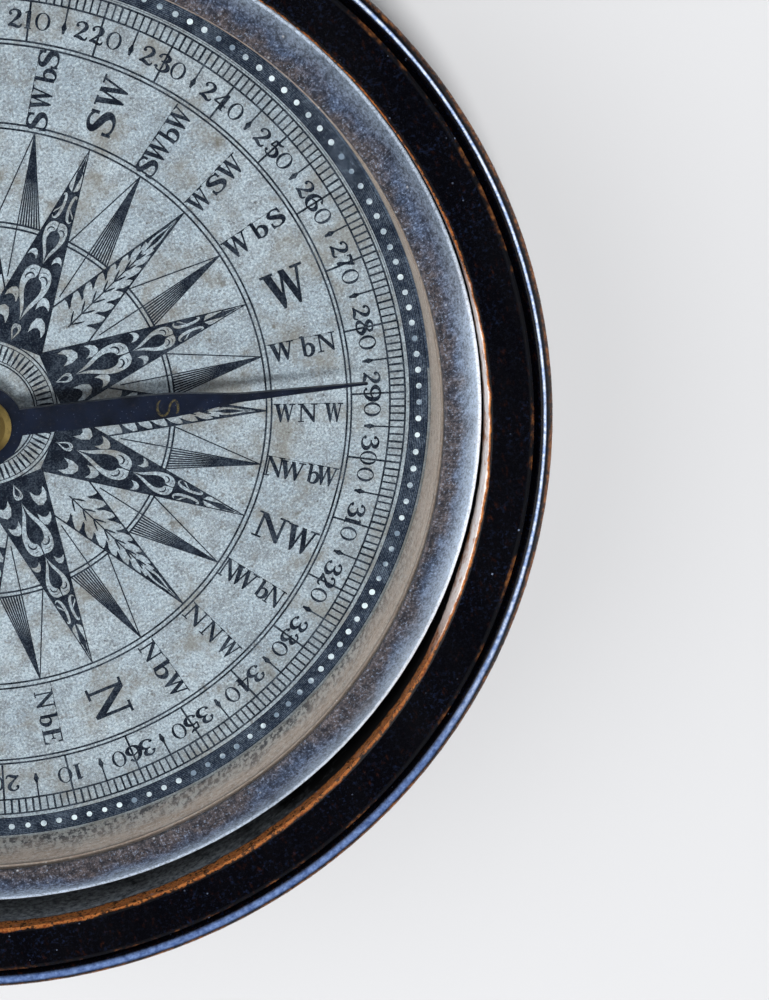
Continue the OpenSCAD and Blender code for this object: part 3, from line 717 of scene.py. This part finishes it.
def draw_half_point(rose, azimuth):
    pen(rose.ink, azimuth, [(767, 0, 2.6), (700, half_width(700) - 1, 3.4),
                            (HALF_MEET, half_width(HALF_MEET) - 1, 3)], smooth=False)
    blot(rose.ink, azimuth, both_sides([(768, 0.6), (640, half_width(640))]), mirror=False)
    pen(rose.bare, azimuth, [(738, 1, 0.5), (722, 1.9, 1.7), (704, 3.4, 0.5)], smooth=False)
    smooth_blot(rose.bare, azimuth, [(712, 0), (702, 4.2), (686, 7.6), (667, 10), (648, 10.2), (630, 6.4),
                                     (610, 0)])
    smooth_blot(rose.detail, azimuth, [(716, 0), (704, 1.2), (690, 3), (674, 5), (656, 5.2), (642, 2.8),
                                       (628, 1.2), (614, 0)])
    pen(rose.ink, azimuth, [(640, 0, 2.4), (HALF_MEET, 0, 2.4)], mirror=False, smooth=False)
    pen(rose.bare, azimuth, [(690, 2, 0.3), (676, 9.4, 0.5)], smooth=False)
    for i in range(LEAVES):
        tip = 612 - LEAF_STEP * i
        edge = half_width(tip + 22)
        reach = edge * (0.46 if i % 2 else 0.54)
        leaf = [(0, reach), (9, reach + 1.6), (20, edge * 0.72), (44, half_width(tip + 44) - 0.6),
                (12, half_width(tip + 12) - 0.6), (9, edge * 0.78)]
        stalk = [(6, edge * 0.34, 1.2), (-8, edge * 0.20, 3.6), (-24, 1.6, 2)]
        blot(rose.ink, azimuth, [(tip + r, s) for r, s in leaf])
        pen(rose.ink, azimuth, [(tip + r, s, w) for r, s, w in stalk])


def draw_plain_point(sheet, azimuth):
    """Outline and middle line, hatching on one side, and a solid end."""
    def base_point(share):
        turn = PLAIN_HALF_ANGLE * share
        return INNER_RING[1] * math.cos(turn), INNER_RING[1] * math.sin(turn)

    def toward_tip(point, share):
        r, s = point
        return r + (TIP - r) * share, s * (1 - share)
    for side in (1, -1):
        pen(sheet, azimuth, [(767, 0, 2), (*base_point(side), 2.4)], mirror=False, smooth=False)
    pen(sheet, azimuth, [(767, 0, 2), (380, 0, 2.2)], mirror=False, smooth=False)
    for i in range(1, PLAIN_LINES):
        foot = base_point(i / PLAIN_LINES)
        pen(sheet, azimuth, [(*toward_tip(foot, 0.80), 1.9), (*foot, 2.9)], mirror=False, smooth=False)
    corner = toward_tip(base_point(1), 0.62)
    blot(sheet, azimuth, [(767, 0.5), (767, -0.9), (corner[0], -0.9), corner], mirror=False)


def draw_rose(rose):
    for azimuth in range(0, 360, 45):
        draw_half_point(rose, azimuth + 22.5)
        draw_chief_point(rose, azimuth)
    for i in range(16):
        draw_plain_point(rose.ink, 11.25 + 22.5 * i)
    # The two inner rings show only between the chief and half points
    for i in range(16):
        for radius in INNER_RING:
            edge = math.degrees(math.atan(half_width(radius) / radius))
            circle_line(rose.ink, radius, start=22.5 * i + edge, stop=22.5 * (i + 1) - edge)
    for radius, width in HUB_RINGS:
        circle_line(rose.ink, radius, width)
    for i in range(HUB_RAYS):
        pen(rose.ink, 360 * i / HUB_RAYS, [(194, 0, 2), (172, 0, 5), (150, 0, 1.2)], mirror=False)


# Materials. The numbers in them are scales of noise, thresholds on it from 0 to 1, and shares.
# Where wear, dirt, painted highlights and painted light lie, as angles in radians from the east of the card
# towards its north
LIP_WORN_AT = 1.92
LIP_HIGHLIGHT_AT = 2.70
BEAD_HIGHLIGHT_AT = 3.05
WELL_DUSTY_LIT_AT = 1.30
RING_HIGHLIGHT_AT = 2.50
LINER_DIRTY_AT = 1.66


def paper_material():
    """Old rag paper: grey, fine grained, with brown stains and small dark and pale fibres."""
    g = Graph("aged paper")
    radius, _, _ = g.radial(CX, CY)
    fibre = g.noise(3900, 4, 0.72)
    flock = g.noise(2900, 4, 0.7)
    mottle = g.noise(420, 5, 0.72)
    stain = g.noise(150, 5, 0.66)
    dirt = g.noise(640, 4, 0.7)
    g.base = g.shades(g.noise(70, 4, 0.62), 0.32, 0.68, (156, 169, 181), (182, 193, 203))
    g.cover(g.span(mottle, 0.46, 0.6), 0.58, (128, 132, 136))
    g.cover(g.fade(flock, 0.38, 0.49), 0.62, (98, 104, 112))
    g.cover(g.span(flock, 0.54, 0.64), 0.66, (216, 224, 231))
    g.cover(g.fade(fibre, 0.4, 0.48), 0.62, (98, 101, 107))
    g.cover(g.span(stain, 0.5, 0.64), 0.6, (124, 117, 106))
    g.cover(g.span(dirt, 0.6, 0.7), 0.62, (96, 89, 82))
    specks = g.mul(g.fade(g.cells(900), 0.06, 0.17), g.span(mottle, 0.5, 0.58))
    g.cover(specks, 0.8, (70, 66, 66))
    flecks = g.mul(g.fade(g.cells(760), 0.04, 0.13), g.span(dirt, 0.44, 0.36))
    g.cover(flecks, 0.9, (228, 234, 238))
    thumbed = g.span(g.uneven(radius, mottle, 4 * MM), 52 * MM, 57 * MM)
    g.cover(thumbed, 0.22, (100, 104, 108))
    # Darker towards the edge of the card, where it meets the liner
    rim = g.span(g.uneven(radius, mottle, 1.2 * MM), RING_INNER_R - 1.4 * MM, RING_INNER_R)
    g.cover(rim, 0.8, (96, 92, 86))
    height = g.add(g.mul(fibre, 0.6), g.add(g.mul(flock, 0.8), g.mul(mottle, 0.4)))
    return g.finish(bump=(height, 0.8, 0.26 * MM), Roughness=0.92, gloss=0.1)


def ink_material(name, worn, tint=(18, 25, 38)):
    """Printer's ink: worn says how much of the paper shows through."""
    g = Graph(name)
    patch = g.noise(360, 4, 0.65)
    thin = g.span(g.add(g.noise(4600, 4, 0.7), g.mul(patch, 0.5)), 0.7, 0.98)
    g.base = g.shades(patch, 0.3, 0.7, [v * 0.7 for v in tint], tint)
    g.cover(thin, worn, (124, 136, 150))
    return g.finish(bump=(g.noise(2600, 6, 0.65), 0.4, 0.1 * MM), Roughness=0.85, gloss=0.06)


def dot_material():
    """Paper seen through the border: some dots are pale, others filled in with ink."""
    g = Graph("paper dots")
    filled = g.add(g.mul(g.noise(3000, 4, 0.6), 0.35), g.noise(230, 2, 0.5))
    g.base = g.shades(filled, 0.56, 0.8, (112, 126, 142), (206, 216, 222))
    return g.finish(Roughness=0.9, gloss=0.1)


def varnish(g, radius, angle, z, speck, patch):
    """Whole varnish: almost black, with brown specks and blue specks that are painted glints, and browner on
    the wall of the case.
    """
    grain = g.noise(150, 5, 0.65, g.stretched(1, 0.16, 1))
    ember = g.noise(1500, 4, 0.7, g.stretched(1, 0.45, 1))
    turned = g.noise(3.0, 5, 0.65, g.turned(radius, angle, z, 2.6, 420))
    streaks = g.noise(340, 5, 0.7, g.stretched(1, 0.1, 1))
    g.base = g.shades(grain, 0.35, 0.7, (2, 2, 5), (6, 6, 9))
    wall = g.mul(g.span(radius, RIM_R + 0.4 * MM, RIM_R + 1.6 * MM),
                 g.span(z, CASE_TOP - 3.4 * MM, CASE_TOP - 4.8 * MM))
    brown = g.shades(streaks, 0.38, 0.62, (17, 11, 9), (48, 27, 17))
    brown = g.mix(g.mul(g.span(grain, 0.35, 0.65), 0.6), brown, srgb(14, 9, 8))
    g.lay(wall, brown)
    # Blue specks: painted glints of light on the varnish
    g.cover(g.span(speck, 0.56, 0.72), g.span(patch, 0.38, 0.62, 0.12, 0.7), (26, 38, 66))
    g.cover(g.span(ember, 0.57, 0.72), g.span(turned, 0.44, 0.62, 0.08, 0.6), (54, 27, 15))


def wood_material():
    """Dark varnished hardwood, turned, with the varnish worn through at the edges, painted highlights on the
    lip and the bead, painted glints in the varnish and painted shade in the well.
    """
    g = Graph("dark varnished wood")
    radius, angle, z = g.radial()
    speck = g.noise(2300, 4, 0.7)
    patch = g.noise(110, 4, 0.6)
    chip = g.noise(210, 5, 0.7)
    chip_fine = g.noise(1300, 4, 0.7)
    chips = g.add(g.mul(chip, 0.7), g.mul(chip_fine, 0.3))
    ragged = g.mul(g.add(chips, -0.5), 2.6 * MM)
    edge = g.add(radius, g.mul(ragged, 0.45))

    # The lip of the well: worn to the bare wood, and almost whole on the far side. On one side it is painted
    # near white as a painted highlight, which runs further down the wall there
    most_worn = g.facing(angle, LIP_WORN_AT, 0.1, 0.75)
    lip_highlight_side = g.facing(angle, LIP_HIGHLIGHT_AT, 0.915, 0.968)
    width = g.span(most_worn, 0.0, 1.0, 0.08 * MM, 0.24 * MM)
    width = g.most(width, g.mul(lip_highlight_side, 0.16 * MM))
    depth = g.uneven(z, chips, 3.0 * MM)
    deeper = g.add(g.mul(most_worn, -1.0 * MM), g.mul(lip_highlight_side, -2.4 * MM))
    down_to = g.add(CASE_TOP - 1.8 * MM, deeper)
    at_top = g.span(g.sub(depth, down_to), -0.2 * MM, 0.2 * MM)
    inner = g.fade(g.sub(edge, width), WELL_R - 0.04 * MM, WELL_R + 0.12 * MM)
    notch = g.span(chip_fine, 0.5, 0.57, 1.0, 0.1)
    inner = g.mul(g.mul(inner, at_top), g.most(notch, lip_highlight_side))
    # Near white: a painted highlight on one side, and a few bare spots where the lip is most worn
    bare = g.fade(edge, WELL_R - 0.02 * MM, WELL_R + 0.1 * MM)
    here_and_there = g.mul(g.span(chip, 0.6, 0.68, 0.0, 0.7), most_worn)
    bare = g.mul(g.mul(bare, at_top), g.most(lip_highlight_side, here_and_there))

    # Wear of the rim's outer edge, of the case below its bead and of its foot
    near_rim = g.span(z, CASE_TOP - 1.2 * MM, CASE_TOP - 0.4 * MM)
    outer = g.mul(g.mul(g.band(edge, RIM_R, 0.1 * MM, 0.4 * MM), near_rim), g.span(chip, 0.52, 0.64))
    skirt = g.mul(g.span(edge, CASE_R - 0.62 * MM, CASE_R - 0.2 * MM),
                  g.span(z, CASE_TOP - 8.0 * MM, CASE_TOP - 2.0 * MM))
    skirt = g.mul(skirt, g.span(chips, 0.38, 0.56, 0.1, 1.0))
    foot = g.mul(g.fade(z, 0.0, 1.6 * MM), g.span(chips, 0.46, 0.56))
    wear = g.most(g.most(inner, g.mul(outer, 0.35)), g.most(g.mul(skirt, 0.45), g.mul(foot, 0.6)))
    varnish(g, radius, angle, z, speck, patch)
    g.lay(wear, g.shades(chip_fine, 0.38, 0.62, (104, 50, 20), (206, 132, 68)))
    # The painted highlight and the bare spots, near white
    g.lay(g.mul(bare, 0.9), g.shades(chip_fine, 0.4, 0.6, (250, 238, 228), (254, 252, 250)))

    # The bead: a blue painted highlight along its crest, a narrow bright line on one side, wider and duller
    # round from it
    bead_highlight_side = g.facing(angle, BEAD_HIGHLIGHT_AT, 0.6, 0.93)
    half = g.span(bead_highlight_side, 0.0, 1.0, 0.46 * MM, 0.2 * MM)
    off = g.math("ABSOLUTE", g.sub(g.add(radius, g.mul(ragged, 0.06)), CREST_R))
    off = g.math("DIVIDE", off, half)
    crest_highlight = g.mul(g.fade(off, 0.45, 1.25), g.span(z, CASE_TOP - 1.6 * MM, CASE_TOP - 1.0 * MM))
    # bloom and glint are the colours of the painted highlight on the bead
    bloom = g.shades(chip_fine, 0.36, 0.62, (62, 84, 130), (104, 128, 174))
    glint = g.shades(chip_fine, 0.4, 0.58, (150, 176, 222), (226, 236, 250))
    bloom = g.mix(g.mul(bead_highlight_side, g.span(off, 0.2, 0.9, 1.0, 0.35)), bloom, glint)
    g.lay(g.mul(crest_highlight, g.span(speck, 0.34, 0.54, 0.65, 0.97)), bloom)

    # The wall of the well under its lip: painted almost black as painted shade, and grey on one side as dust
    # and painted light. Then dust on the varnish
    shaded_wall_below_lip = g.mul(g.fade(radius, WELL_R + 0.1 * MM, WELL_R + 0.3 * MM),
                  g.span(depth, down_to, g.sub(down_to, 0.3 * MM)))
    off_dusty_lit = g.math("COSINE", g.add(angle, -WELL_DUSTY_LIT_AT))
    dusty_lit_side = g.span(g.uneven(off_dusty_lit, chip, 0.5), 0.8, 0.97)
    dust_and_light = g.shades(chip_fine, 0.35, 0.65, (58, 62, 66), (128, 134, 138))
    g.lay(shaded_wall_below_lip, g.mix(dusty_lit_side, srgb(6, 6, 8), dust_and_light))
    dust = g.mul(g.fade(g.cells(560), 0.0, 0.1), g.span(patch, 0.5, 0.6))
    g.cover(dust, 0.8, (150, 168, 200))

    # Rough where the varnish is gone, on the painted highlight of the bead, on the wall under the lip, and
    # where the light catches the edge of the quirk
    rough = g.most(g.span(speck, 0.35, 0.65, 0.2, 0.34), g.mul(g.most(wear, crest_highlight), 0.55))
    rough = g.most(rough, g.mul(shaded_wall_below_lip, 0.9))
    arris = g.mul(g.band(radius, RIM_R, 0.3 * MM, 0.6 * MM),
                  g.span(z, CASE_TOP - 1.6 * MM, CASE_TOP - 0.8 * MM))
    rough = g.most(rough, g.mul(arris, 0.95))
    height = g.add(g.mul(speck, 0.5), g.add(g.mul(chips, 0.3), g.mul(wear, -0.5)))
    return g.finish(bump=(height, 0.3, 0.1 * MM), Roughness=rough, gloss=0.2)


def bezel_material():
    """Grey metal with a brown bloom on its inner half, and a painted highlight towards the outer edge,
    strongest on one side.
    """
    low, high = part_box("bezel_ring")
    g = Graph("tarnished grey metal")
    radius, angle, z = g.radial(CX, CY)
    share = g.span(radius, RING_INNER_R, (high.x - low.x) / 2)
    fine = g.noise(3000, 4, 0.75)
    grit = g.noise(1150, 5, 0.75)
    streak = g.noise(2.0, 5, 0.72, g.turned(radius, angle, z, 150, 60))
    blotch = g.noise(150, 5, 0.65)
    cloud = g.noise(60, 4, 0.6)
    # The side where the painted highlight on the ring is strongest
    rubbed = g.facing(angle, RING_HIGHLIGHT_AT, 0.78, 0.95)
    grey = g.shades(grit, 0.4, 0.6, (42, 54, 76), (112, 130, 162))
    brown = g.shades(grit, 0.4, 0.6, (50, 43, 40), (122, 103, 88))
    inside = g.uneven(g.uneven(share, blotch, 1.5), cloud, 1.3)
    g.base = g.mix(g.mul(g.fade(inside, 0.24, 0.56), 0.8), grey, brown)
    g.cover(g.fade(streak, 0.4, 0.58), 0.45, (48, 50, 56))
    # A pale blue painted highlight, growing towards the outer edge of the ring
    reach = g.uneven(g.uneven(share, grit, 0.35), blotch, 0.5)
    painted_sheen = g.span(g.add(reach, g.mul(rubbed, 0.2)), 0.5, 1.16)
    painted_sheen = g.mul(painted_sheen, g.add(g.mul(painted_sheen, 0.45), 0.55))
    g.lay(painted_sheen, srgb(208, 230, 253))
    # A near white painted highlight at the outer edge, strongest on one side
    lip = g.span(g.uneven(share, grit, 0.08), 0.86, 0.97)
    g.cover(lip, g.span(rubbed, 0.0, 1.0, 0.25, 1.0), (244, 249, 254))
    g.cover(g.span(streak, 0.58, 0.7), 0.35, (176, 190, 208))
    g.cover(g.span(fine, 0.5, 0.58), g.span(painted_sheen, 0.0, 1.0, 0.72, 0.3), (44, 48, 58))
    g.cover(g.fade(fine, 0.34, 0.44), 0.62, (176, 194, 222))
    specks = g.mul(g.fade(g.cells(480), 0.0, 0.11), g.span(blotch, 0.48, 0.56))
    g.cover(specks, 0.9, (240, 244, 248))
    metal = g.span(share, 0.34, 0.8, 0.6, 0.05)
    rough = g.most(g.span(grit, 0.3, 0.7, 0.34, 0.56), g.mul(painted_sheen, 0.7))
    height = g.add(g.mul(fine, 0.5), g.add(g.mul(grit, 0.7), g.mul(streak, 0.5)))
    return g.finish(bump=(height, 0.6, 0.2 * MM), Metallic=metal, Roughness=rough)


def liner_material():
    """Bare tan wall, with dust and dirt where it meets the card, and dirt and painted shade in the joint
    under the ring.
    """
    _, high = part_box("liner_ring")
    g = Graph("tan liner")
    radius, angle, z = g.radial(CX, CY)
    fine = g.noise(2100, 5, 0.72)
    grit = g.noise(800, 5, 0.7)
    round_it = g.noise(3.0, 5, 0.65, g.turned(radius, angle, z, 3.5, 500))
    g.base = g.shades(round_it, 0.35, 0.65, (186, 164, 149), (214, 196, 184))
    g.cover(g.span(grit, 0.5, 0.66), 0.5, (146, 130, 120))
    g.cover(g.span(fine, 0.54, 0.64), 0.6, (226, 224, 222))
    g.cover(g.fade(fine, 0.38, 0.46), 0.45, (128, 108, 96))
    foot_z = g.uneven(z, g.noise(160, 5, 0.7), 16 * MM)
    foot = g.fade(foot_z, CARD_Z + 0.8 * MM, CARD_Z + 7 * MM)
    grains = g.noise(1500, 4, 0.7, g.stretched(1, 1, 0.4))
    speckle = g.shades(grains, 0.44, 0.56, (70, 74, 82), (206, 204, 200))
    dirty = g.facing(angle, LINER_DIRTY_AT, 0.62, 0.92, 0.2, 0.9)
    g.lay(g.mul(foot, dirty), speckle)
    # Darker just under the ring: dirt in the joint and painted shade under its lip
    joint = g.span(z, high.z - 0.9 * MM, high.z - 0.2 * MM)
    g.cover(joint, 0.65, (92, 82, 76))
    flecks = g.mul(g.fade(g.cells(1000), 0.0, 0.16), g.span(grit, 0.48, 0.56))
    g.cover(flecks, 0.9, (236, 238, 240))
    height = g.add(g.mul(fine, 0.6), g.add(g.mul(grit, 0.7), g.mul(round_it, 0.4)))
    return g.finish(bump=(height, 0.55, 0.16 * MM), Roughness=0.76, gloss=0.3)


def metal_material(name, dark, light, roughness, grime, metallic=1.0):
    g = Graph(name)
    fine = g.noise(900, 6, 0.65)
    blotch = g.noise(144, 5, 0.6)
    g.base = g.shades(blotch, 0.35, 0.65, dark, light)
    g.cover(g.span(fine, 0.55, 0.72), 0.6, grime)
    rough = g.span(g.add(g.mul(fine, 0.6), g.mul(blotch, 0.4)), 0.35, 0.65, roughness, roughness + 0.22)
    return g.finish(bump=(fine, 0.25, 0.06 * MM), Metallic=metallic, Roughness=rough)


def needle_material():
    g = Graph("blued steel")
    fine = g.noise(1900, 5, 0.72)
    blotch = g.noise(300, 5, 0.6)
    g.base = g.shades(blotch, 0.35, 0.65, (7, 11, 22), (15, 23, 42))
    g.cover(g.span(fine, 0.56, 0.7), 0.55, (44, 42, 44))
    dust = g.mul(g.fade(g.cells(1900), 0.0, 0.16), g.span(blotch, 0.44, 0.56))
    g.cover(dust, 0.5, (120, 138, 170))
    rough = g.span(fine, 0.35, 0.65, 0.3, 0.5)
    return g.finish(bump=(fine, 0.3, 0.05 * MM), Metallic=0.2, Roughness=rough, gloss=0.3)


def gilt_material():
    g = Graph("rubbed gilt")
    g.base = g.shades(g.noise(2600, 4, 0.7), 0.42, 0.56, (26, 27, 32), (86, 76, 46))
    return g.finish(Metallic=0.3, Roughness=0.55)


def glass_material():
    """Clear glass. Shadow rays and diffuse rays go straight through it."""
    g = Graph("clear glass")
    g.base = (0.96, 0.985, 0.98, 1)
    g.finish(Roughness=0.0, IOR=1.45, **{"Transmission Weight": 1.0})
    clear = g.put("BsdfTransparent", {"Color": (0.97, 0.985, 0.985, 1)})
    path = g.put("LightPath")
    through = g.most(path.outputs["Is Shadow Ray"], path.outputs["Is Diffuse Ray"])
    both = g.put("MixShader", {0: through, 1: g.shader.outputs[0], 2: clear.outputs[0]})
    g.feed(g.out.inputs[0], both.outputs[0])
    return g.material


def floor_material():
    g = Graph("pale floor")
    grain = g.noise(30, 4, 0.5)
    g.base = g.mix(g.mul(grain, 0.12), srgb(208, 209, 211), srgb(198, 199, 202))
    return g.finish(Roughness=0.85, gloss=0.2)


# Floor, lights and world
FLOOR_REACH = 6.0
# Directions of the photograph in the frame: its right and its foot
RIGHT = Vector((-0.9246, 0.3613, 0.0))
DOWN = Vector((0.3806, 0.8897, 0.0))
UP = Vector((0.0, 0.0, 1.0))


def add_floor():
    corners = [(-1, -1), (1, -1), (1, 1), (-1, 1)]
    mesh = bpy.data.meshes.new("floor")
    mesh.from_pydata([(x * FLOOR_REACH, y * FLOOR_REACH, 0) for x, y in corners], [], [(0, 1, 2, 3)])
    mesh.materials.append(floor_material())
    floor = add_object("floor", mesh)


def add_lamp(name, direction, distance, size, power, color=(1, 1, 1), diffuse=True, gloss=True):
    """A round lamp, size across, that shines on the middle of the card."""
    data = bpy.data.lights.new(name, "AREA")
    data.shape = "DISK"
    data.size = size
    data.energy = power
    data.color = color
    lamp = add_object(name, data)
    away = direction.normalized()
    lamp.location = CARD_MIDDLE + away * distance
    lamp.rotation_mode = "QUATERNION"
    lamp.rotation_quaternion = away.to_track_quat("Z", "Y")
    lamp.visible_diffuse = diffuse
    lamp.visible_glossy = gloss
    lamp.visible_transmission = gloss


def add_lamps():
    """A small lamp over the card, which shows in no reflection, and two large soft ones beside it."""
    add_lamp("key", UP + DOWN * 0.03 + RIGHT * 0.06, distance=0.9, size=0.15, power=8.3,
             color=(1.0, 0.99, 0.98), gloss=False)
    add_lamp("fill", -RIGHT * 0.78 - DOWN * 0.12 + UP * 0.6, distance=1.0, size=1.4, power=8.0)
    add_lamp("rim", RIGHT * 0.92 + DOWN * 0.12 + UP * 0.37, distance=0.9, size=1.3, power=6.0,
             color=(0.82, 0.91, 1.0), diffuse=False)


def add_world():
    """Pale all round, and darker straight overhead, so that the varnish and the glass stay clear."""
    world = bpy.data.worlds.new("studio")
    bpy.context.scene.world = world
    world.use_nodes = True
    tree = world.node_tree
    tree.nodes.clear()
    kinds = ("TexCoord", "SeparateXYZ", "ValToRGB", "Background", "OutputWorld")
    place, split, ramp, shade, out = (tree.nodes.new("ShaderNode" + kind) for kind in kinds)
    tree.links.new(place.outputs["Generated"], split.inputs[0])
    tree.links.new(split.outputs[2], ramp.inputs[0])
    tree.links.new(ramp.outputs[0], shade.inputs[0])
    tree.links.new(shade.outputs[0], out.inputs[0])
    pale, dark = ramp.color_ramp.elements
    pale.position = 0.30
    pale.color = (0.52, 0.53, 0.55, 1)
    dark.position = 0.80
    dark.color = (0.04, 0.042, 0.05, 1)


add_camera()
add_world()
add_floor()
add_lamps()

paper = paper_material()
# What isn't dressed again below is of brass
dress(nodes, metal_material("aged brass", (120, 96, 52), (176, 146, 86), 0.30, (70, 58, 40)))
dress(["compass_card"], paper)
dress(["case_body"], wood_material())
dress(["bezel_ring"], bezel_material())
dress(["liner_ring"], liner_material())
dress(["glass"], glass_material())
dress(["needle_bar"], needle_material())
dress(["pivot_pin", "fulcrum_pin", "slide_spring", "stop_slide"],
      metal_material("polished steel", (128, 130, 134), (176, 180, 186), 0.22, (80, 78, 76)))
dress(["compass_bowl"], metal_material("dull grey metal", (82, 86, 92), (120, 124, 130), 0.5, (56, 54, 52)))
dress(["cap_jewel"],
      metal_material("red stone", (96, 36, 26), (150, 66, 44), 0.12, (70, 22, 18), metallic=0.0))

fine_ink = ink_material("printed ink", 0.42)
strong_ink = ink_material("strong ink", 0.3, (19, 26, 40))
band_ink = ink_material("band ink", 0.7, (50, 61, 81))

border = Sheet("card_border", 0, 1)
hatch = Sheet("card_border_lines", 1, 2)
dots = Sheet("card_border_dots", 4, 1)
draw_border(border, hatch, dots)
border.make(band_ink)
hatch.make(strong_ink)
dots.make(dot_material())
scale_lines = Sheet("card_scale_lines")
figures = Sheet("card_figures")
draw_scale(scale_lines, figures)
scale_lines.make(fine_ink)
figures.make(strong_ink)
letters = Sheet("card_letters")
hairs = Sheet("card_hairlines", 9, 1)
draw_labels(letters, hairs)
letters.make(strong_ink)
hairs.make(fine_ink)
rose = Rose()
draw_rose(rose)
rose.ink.make(strong_ink)
rose.bare.make(paper)
rose.detail.make(strong_ink)

# Gilt S on the arm of the needle: along the arm, across it, and width, in millimetres
NEEDLE_AZIMUTH = math.radians(286.4)
GILT_S = [(23.90, -0.97, 0.14), (23.37, -0.3, 0.26), (23.43, 0.73, 0.34), (24.12, 1.24, 0.3),
          (24.76, 0.71, 0.26), (25.10, -0.19, 0.26), (25.66, -0.73, 0.3), (26.06, -0.17, 0.34),
          (26.00, 0.77, 0.28), (25.72, 1.08, 0.14)]
_, needle_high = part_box("needle_bar")
scroll = Sheet("needle_scroll", 0, 1)
scroll.height = needle_high.z + PRINT_RISE


def on_needle(along, across):
    s, c = math.sin(NEEDLE_AZIMUTH), math.cos(NEEDLE_AZIMUTH)
    return along * s + across * c, along * c - across * s


scroll.brush(GILT_S, on_needle)
scroll.make(gilt_material(), "needle")

bpy.context.scene.view_settings.view_transform = "Standard"
